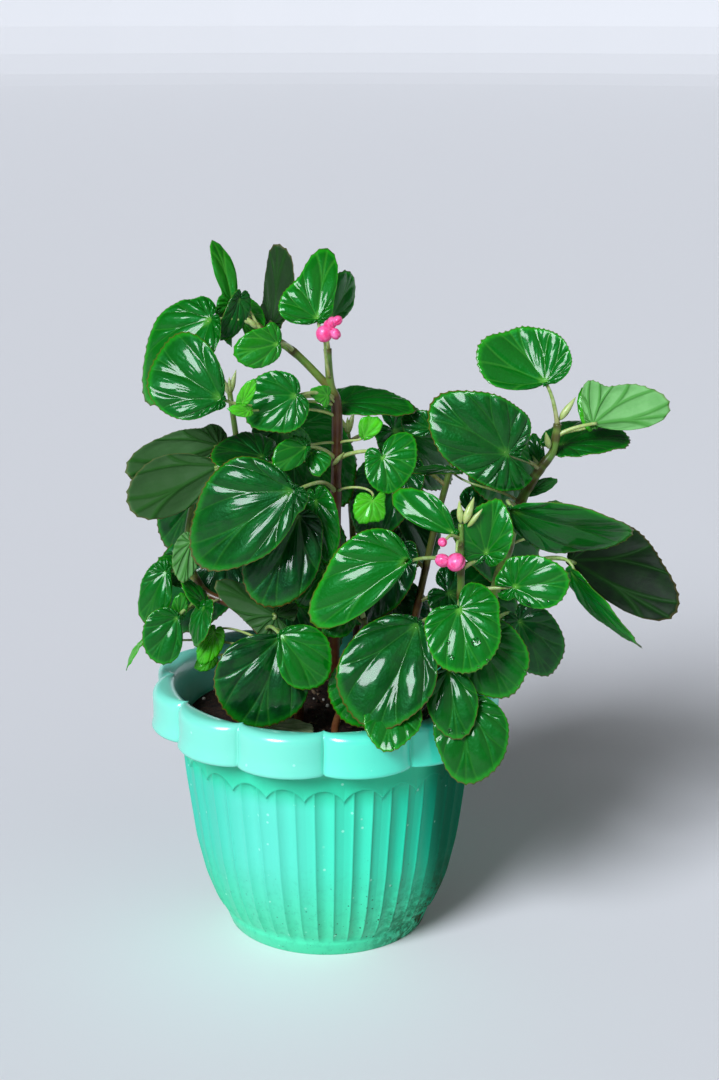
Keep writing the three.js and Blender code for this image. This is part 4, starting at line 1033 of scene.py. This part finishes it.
def buildPot():
    # one profile carried round the axis: foot, fluted body, scalloped ledge, petalled band and plain inside,
    # where the flutes, the ledge and the band change the radius or the height with the angle
    angle = np.linspace(0, fullTurn, potSet["columns"] + 1)
    petal = rim["notch"] + (rim["petal"] - rim["notch"]) * np.abs(np.sin(angle * rim["petals"] / 2)) ** 0.6
    wave = np.cos(angle * flutes["count"] / 2)
    hollow = np.abs(wave) ** flutes["round"] * (1 + flutes["uneven"] * wave) / (1 + flutes["uneven"])
    # painted shade, carried as tone: on the flank of each flute ridge that faces away from the light at the
    # front, strongest next to the ridge
    paintedFluteShade = np.where(np.gradient(np.abs(wave)) > 0, (1 - hollow) ** 2, 0)
    arc = arcs["low"] + arcs["rise"] * np.abs(np.cos(angle * arcs["count"] / 2)) ** 0.7
    top, wall, bottom, shoulder = potSet["height"], potSet["wall"], flutes["bottom"], rim["shoulder"]
    rows = [(radius, z, 0) for radius, z in foot["rows"]]
    rows.append((bodyRadius(bottom) - foot["dip"], bottom - foot["below"], 0))
    for t in np.linspace(0, 1, potSet["bodyRows"]):
        z = bottom + (arc - arcs["under"] - bottom) * t
        fade = smooth(0, flutes["fade"], t)
        ridge = flutes["depth"] * (1 - hollow) * fade
        rows.append((bodyRadius(z) - flutes["inset"] + ridge, z, paintedFluteShade * fade))
    rows += [(bodyRadius(arc) + arcs["ledge"] + out, arc + up, 0) for out, up in arcs["rows"]]
    for t in (0.25, 0.5, 0.8, 1):
        z = arc + arcs["top"] + (potSet["neck"] - arc - arcs["top"]) * t
        rows.append((bodyRadius(z) + arcs["ledge"] * (1 - t) * 0.8, z, 0))
    rows += [(petal + out, top - rim["drop"] + up, 0) for out, up in rim["rows"]]
    for bend in np.linspace(0, math.pi / 2, shoulder["rows"]):
        inset = shoulder["wide"] * (1 - math.cos(bend))
        rows.append((petal + shoulder["out"] - inset, top - shoulder["tall"] * (1 - math.sin(bend)), 0))
    rows.append((np.minimum(petal - rim["flat"], rim["inward"]), top - 0.3, 0))
    rows += [(rim["opening"] + out, top + up, 0) for out, up in rim["openingRows"]]
    rows += [(bodyRadius(z) - wall, z, 0) for z in (139, 100, 32)]
    inside, floor = foot["radius"] - wall, potSet["floor"]
    rows += [(inside, floor + 0.6, 0), (inside - 0.6, floor, 0), (0, floor, 0)]
    points, paintedFluteShades = carriedRound(rows, angle)
    makePiece("pot_finished", [shell(points, 0, paintedFluteShades.ravel())], [potPlastic()], "pot")


buildPot()


# Soil. Its heights above its level are drawn on three rings, between its middle and its side
soilSet = {"gap": 0.35, "steps": 28, "bumps": 2.2, "rings": (0, 20, 44, 68), "middle": 1, "side": -4,
           "seed": 7, "rows": 46, "columns": 240, "bark": 260, "grains": 90, "spread": 79}


def pottingMix():
    # moist peat and bark: near black, crumbly at 2 to 4 mm, with lighter fibres
    material, node, finish, place = begin("moist potting mix")
    crumbs = node("MapRange", node("TexNoise", place, 1000 / 4, 8, 0.7), 0.35, 0.7)
    fibres = node("MapRange", node("TexNoise", place, 1000 / 1.6, 6, 0.7), 0.6, 0.72)
    dark = node("Mix", fibres, node("Mix", crumbs, "#120A07", "#3A2418"), "#6E5540")
    bump = node("Bump", node("TexNoise", place, 1000 / 3.5, 8, 0.75), 1.6 * mm, 0.9)
    bump = node("Bump", node("TexNoise", place, 1000 / 1.1, 4, 0.55), 0.6 * mm, 0.7, bump)
    finish({"Base Color": dark, "Normal": bump, "Roughness": 0.85, "IOR": 1.4})
    return material


def barkChip():
    # composted bark chips: brown to grey-tan, fibrous
    material, node, finish, place = begin("composted bark chip")
    paler = node("MapRange", node("Attribute", attribute_name="tone"), 0, 1)
    fibres = node("MapRange", node("TexNoise", place, 1000 / 1.5, 5, 0.55), 0.4, 0.7, 0, 0.6)
    bark = node("Mix", fibres, node("Mix", paler, "#2E1A10", "#9A8468"), "#4E3624")
    bump = node("Bump", node("TexNoise", place, 1000 / 1, 5, 0.55), 0.4 * mm, 0.8)
    finish({"Base Color": bark, "Normal": bump, "Roughness": 0.75, "IOR": 1.4})
    return material


def perlite():
    # perlite grains: chalk white and pitted
    material, node, finish, place = begin("perlite grain")
    paler = node("MapRange", node("TexNoise", place, 1000 / 1.2, 4, 0.55), 0.35, 0.7)
    white = node("Mix", paler, "#B9B4A6", "#ECEAE2")
    bump = node("Bump", node("TexNoise", place, 1000 / 0.8, 4, 0.55), 0.3 * mm, 0.8)
    finish({"Base Color": white, "Normal": bump, "Roughness": 0.8, "IOR": 1.45})
    return material


def soilInner(z):
    # the soil's side: the pot's straight inner wall, less a small gap
    low, high = bodyRadius(32), bodyRadius(141)
    return low + (high - low) * (z - 32) / 107 - potSet["wall"] - soilSet["gap"]


def soilLumps():
    # the drawn heights, from the middle to the side, with the first column again as the last
    draw, steps, bumps = drawer(soilSet["seed"]), soilSet["steps"], soilSet["bumps"]
    rings = np.array([draw(-bumps, bumps) for _ in range(3 * steps)]).reshape(3, steps)
    table = np.vstack([np.full(steps, soilSet["middle"]), rings[::-1], np.full(steps, soilSet["side"])])
    return np.concatenate([table, table[:, :1]], axis=1)


soilSide = soilInner(soilTop + soilSet["side"])
soilTable = soilLumps()


def soilHeight(radius, angle):
    # the height of the soil: the drawn lumps, with even slopes between them
    column = (angle % fullTurn) / fullTurn * soilSet["steps"]
    low = np.minimum(column.astype(int), soilSet["steps"] - 1)
    share = column - low
    row = np.clip(np.interp(radius, [*soilSet["rings"], soilSide], np.arange(5)), 0, 3.999)
    ring = row.astype(int)
    between = row - ring
    inner = soilTable[ring, low] * (1 - share) + soilTable[ring, low + 1] * share
    outer = soilTable[ring + 1, low] * (1 - share) + soilTable[ring + 1, low + 1] * share
    return soilTop + inner * (1 - between) + outer * between


def crumb(draw, grain):
    # a chip of bark or a grain of perlite, tumbled on the soil
    radius, turn = soilSet["spread"] * math.sqrt(draw.uniform(0, 1)), draw.uniform(0, fullTurn)
    if grain:
        size = draw.uniform(0.7, 1.5) * np.ones(3)
    else:
        size = draw.uniform(0.8, 1) * np.array([draw.uniform(1.5, 4), draw.uniform(0.8, 1.8), 0.7])
    z = soilHeight(np.array([radius]), np.array([turn]))[0]
    centre = np.array([radius * math.sin(turn), -radius * math.cos(turn), z + 0.1])
    turn = tumbled(draw.normal(size=(3, 3)) * np.array([1, 1, 0.4])[:, None])
    return shell(centre + ball(4, 7)[0] * size @ turn, 2 if grain else 1, draw.uniform(0, 1) ** 2)


def buildSoil():
    # a lumpy disc with a straight side and crumbs of about a millimetre, with bark and perlite lying on it
    angle = np.linspace(0, fullTurn, soilSet["columns"] + 1)
    bottom = potSet["floor"] + soilSet["gap"]
    rows = [(0, bottom, 0), (55, bottom, 0), (soilInner(32) - 0.2, 32, 0)]
    rows.append((soilSide, soilTop + soilSet["side"], 0))
    for radius in np.linspace(soilSide - 0.6, 0, soilSet["rows"]):
        place = np.stack([radius * np.sin(angle), -radius * np.cos(angle), 0 * angle], -1)
        crumbs = 0.7 * wobble(place, 7, 1) + 0.45 * wobble(place, 3.4, 2) - 0.4
        rows.append((radius, soilHeight(radius + 0 * angle, angle) + crumbs, 0))
    points, _ = carriedRound(rows, angle)
    draw = np.random.default_rng(21)
    bits = [crumb(draw, i >= soilSet["bark"]) for i in range(soilSet["bark"] + soilSet["grains"])]
    finishes = [pottingMix(), barkChip(), perlite()]
    makePiece("soil_finished", [shell(points, 0), *bits], finishes, "soil")


buildSoil()


# Water drops on the leaves: stem, leaf, part of the way out, angle from the midrib, radius
drops = [
    ("flower_stem", 3, 0.62, 0.25, 2.6), ("flower_stem", 3, 0.6, -0.5, 1.2),
    ("flower_stem", 3, 0.8, -0.35, 1.5), ("flower_stem", 3, 0.97, 0.3, 1.0),
    ("flower_stem", 3, 0.97, 0.12, 0.9), ("flower_stem", 3, 0.3, 0.7, 0.8),
    ("corner_stem", 1, 0.9, -0.1, 1.6), ("corner_stem", 1, 0.94, 0.1, 1.0),
    ("flower_stem", 4, 0.75, -0.9, 1.6), ("flower_stem", 4, 0.8, -0.5, 0.9),
    ("main_stem", 4, 0.5, 0.3, 0.9), ("main_stem", 15, 0.35, -1.6, 1.0),
    ("corner_stem", 0, 0.96, 0.4, 1.0), ("corner_stem", 0, 0.96, 0.15, 0.8),
    ("flower_stem", 5, 0.97, 0.5, 0.8), ("front_stem", 1, 0.95, 0.1, 0.9),
    ("right_stem", 2, 0.4, 0.8, 0.9),
]
dropSet = {"rows": 13, "columns": 21, "tall": 0.55, "sunk": 0.12, "step": 0.01}


def water():
    # clear water
    material, _, finish, _ = begin("water drop, clear")
    finish({"Base Color": (1, 1, 1, 1), "Roughness": 0.02, "IOR": 1.333, "Transmission Weight": 1})
    return material


def drop(place, out, angle, radius):
    # a bead that sits on a blade: a flattened dome whose foot is a little under the surface
    steps = np.array([-dropSet["step"], 0, dropSet["step"]])
    patch = place(out + steps[:, None], angle + steps[None, :])
    normal = unit(np.cross(patch[2, 1] - patch[0, 1], patch[1, 2] - patch[1, 0]))
    centre = patch[1, 1] + normal * bladeSet["halfThick"]
    side = unit(np.cross(normal, [0.3, 0.2, 1]))
    bead, _, _ = ball(dropSet["rows"], dropSet["columns"])
    bead[..., 2] *= np.where(bead[..., 2] > 0, dropSet["tall"], dropSet["sunk"])
    return shell(centre + bead @ np.array([side, np.cross(normal, side), normal]) * radius, 0)


beads = [drop(bladePlaces[stem, leaf], out, angle, radius) for stem, leaf, out, angle, radius in drops]
makePiece("water_drops", beads, [water()])


# Floor, lights and camera; the floor's radii are in metres
floorSet = {"flat": 8, "edge": 14, "rows": 13, "columns": 97, "bend": 0.09}


def addFloor():
    # a flat floor that curves up far away, so that no horizon shows behind the object
    rows, columns = floorSet["rows"], floorSet["columns"]
    floor = bpy.data.meshes.new("floor")
    angle = np.linspace(0, fullTurn, columns)
    radius = np.append(0.0, np.linspace(floorSet["flat"], floorSet["edge"], rows))[:, None]
    height = floorSet["bend"] * np.maximum(0, radius - floorSet["flat"]) ** 2 + 0 * angle
    points = np.stack([radius * np.cos(angle), radius * np.sin(angle), height], -1)
    weld = np.append(np.zeros(columns, int), np.arange(columns, height.size))
    faces = weld[gridFaces(rows + 1, columns)].tolist()
    faces = [[corner for i, corner in enumerate(face) if corner != face[i - 1]] for face in faces]
    floor.from_pydata(points.reshape(-1, 3).tolist(), [], faces)
    material, _, finish, _ = begin("matt white paper floor")
    finish({"Base Color": "#E2E3E5", "Roughness": 0.8, "Specular IOR Level": 0.2})
    floor.materials.append(material)
    piece = addObject("floor", floor)


def addSun(name, towards, strength, spread, colour):
    # a distant light as wide as a large soft box: spread is its width in degrees
    light = bpy.data.lights.new(name, "SUN")
    light.energy = strength
    light.angle = math.radians(spread)
    light.color = linear(colour)[:3]
    addObject(name, light).rotation_euler = Vector(towards).to_track_quat("Z", "Y").to_euler()


def addCamera():
    lens = bpy.data.cameras.new("camera")
    lens.sensor_fit = "VERTICAL"
    lens.sensor_height = cameraSet["sensor"]
    lens.lens = cameraSet["focalPixels"] / cameraSet["frameHeight"] * cameraSet["sensor"]
    lens.clip_end = cameraSet["farthest"]
    camera = addObject("camera", lens)
    camera.location = eye * mm
    camera.rotation_euler = (math.pi / 2 - pitch, 0, 0)
    bpy.context.scene.camera = camera


def addWorld(colour, strength):
    world = bpy.data.worlds.new("pale room")
    bpy.context.scene.world = world
    world.use_nodes = True
    feed(world.node_tree, world.node_tree.nodes["Background"], {0: colour, 1: strength})


addFloor()
addSun("key, upper left", (-0.46, -0.67, 0.58), 4.1, 26, "#F2F6FF")
addSun("fill, right", (0.5, -0.6, 0.62), 0.3, 60, "#FFFFFF")
addWorld("#E6EAEE", 0.09)
addCamera()
bpy.context.scene.view_settings.view_transform = "Standard"
print("floor, lights and camera")
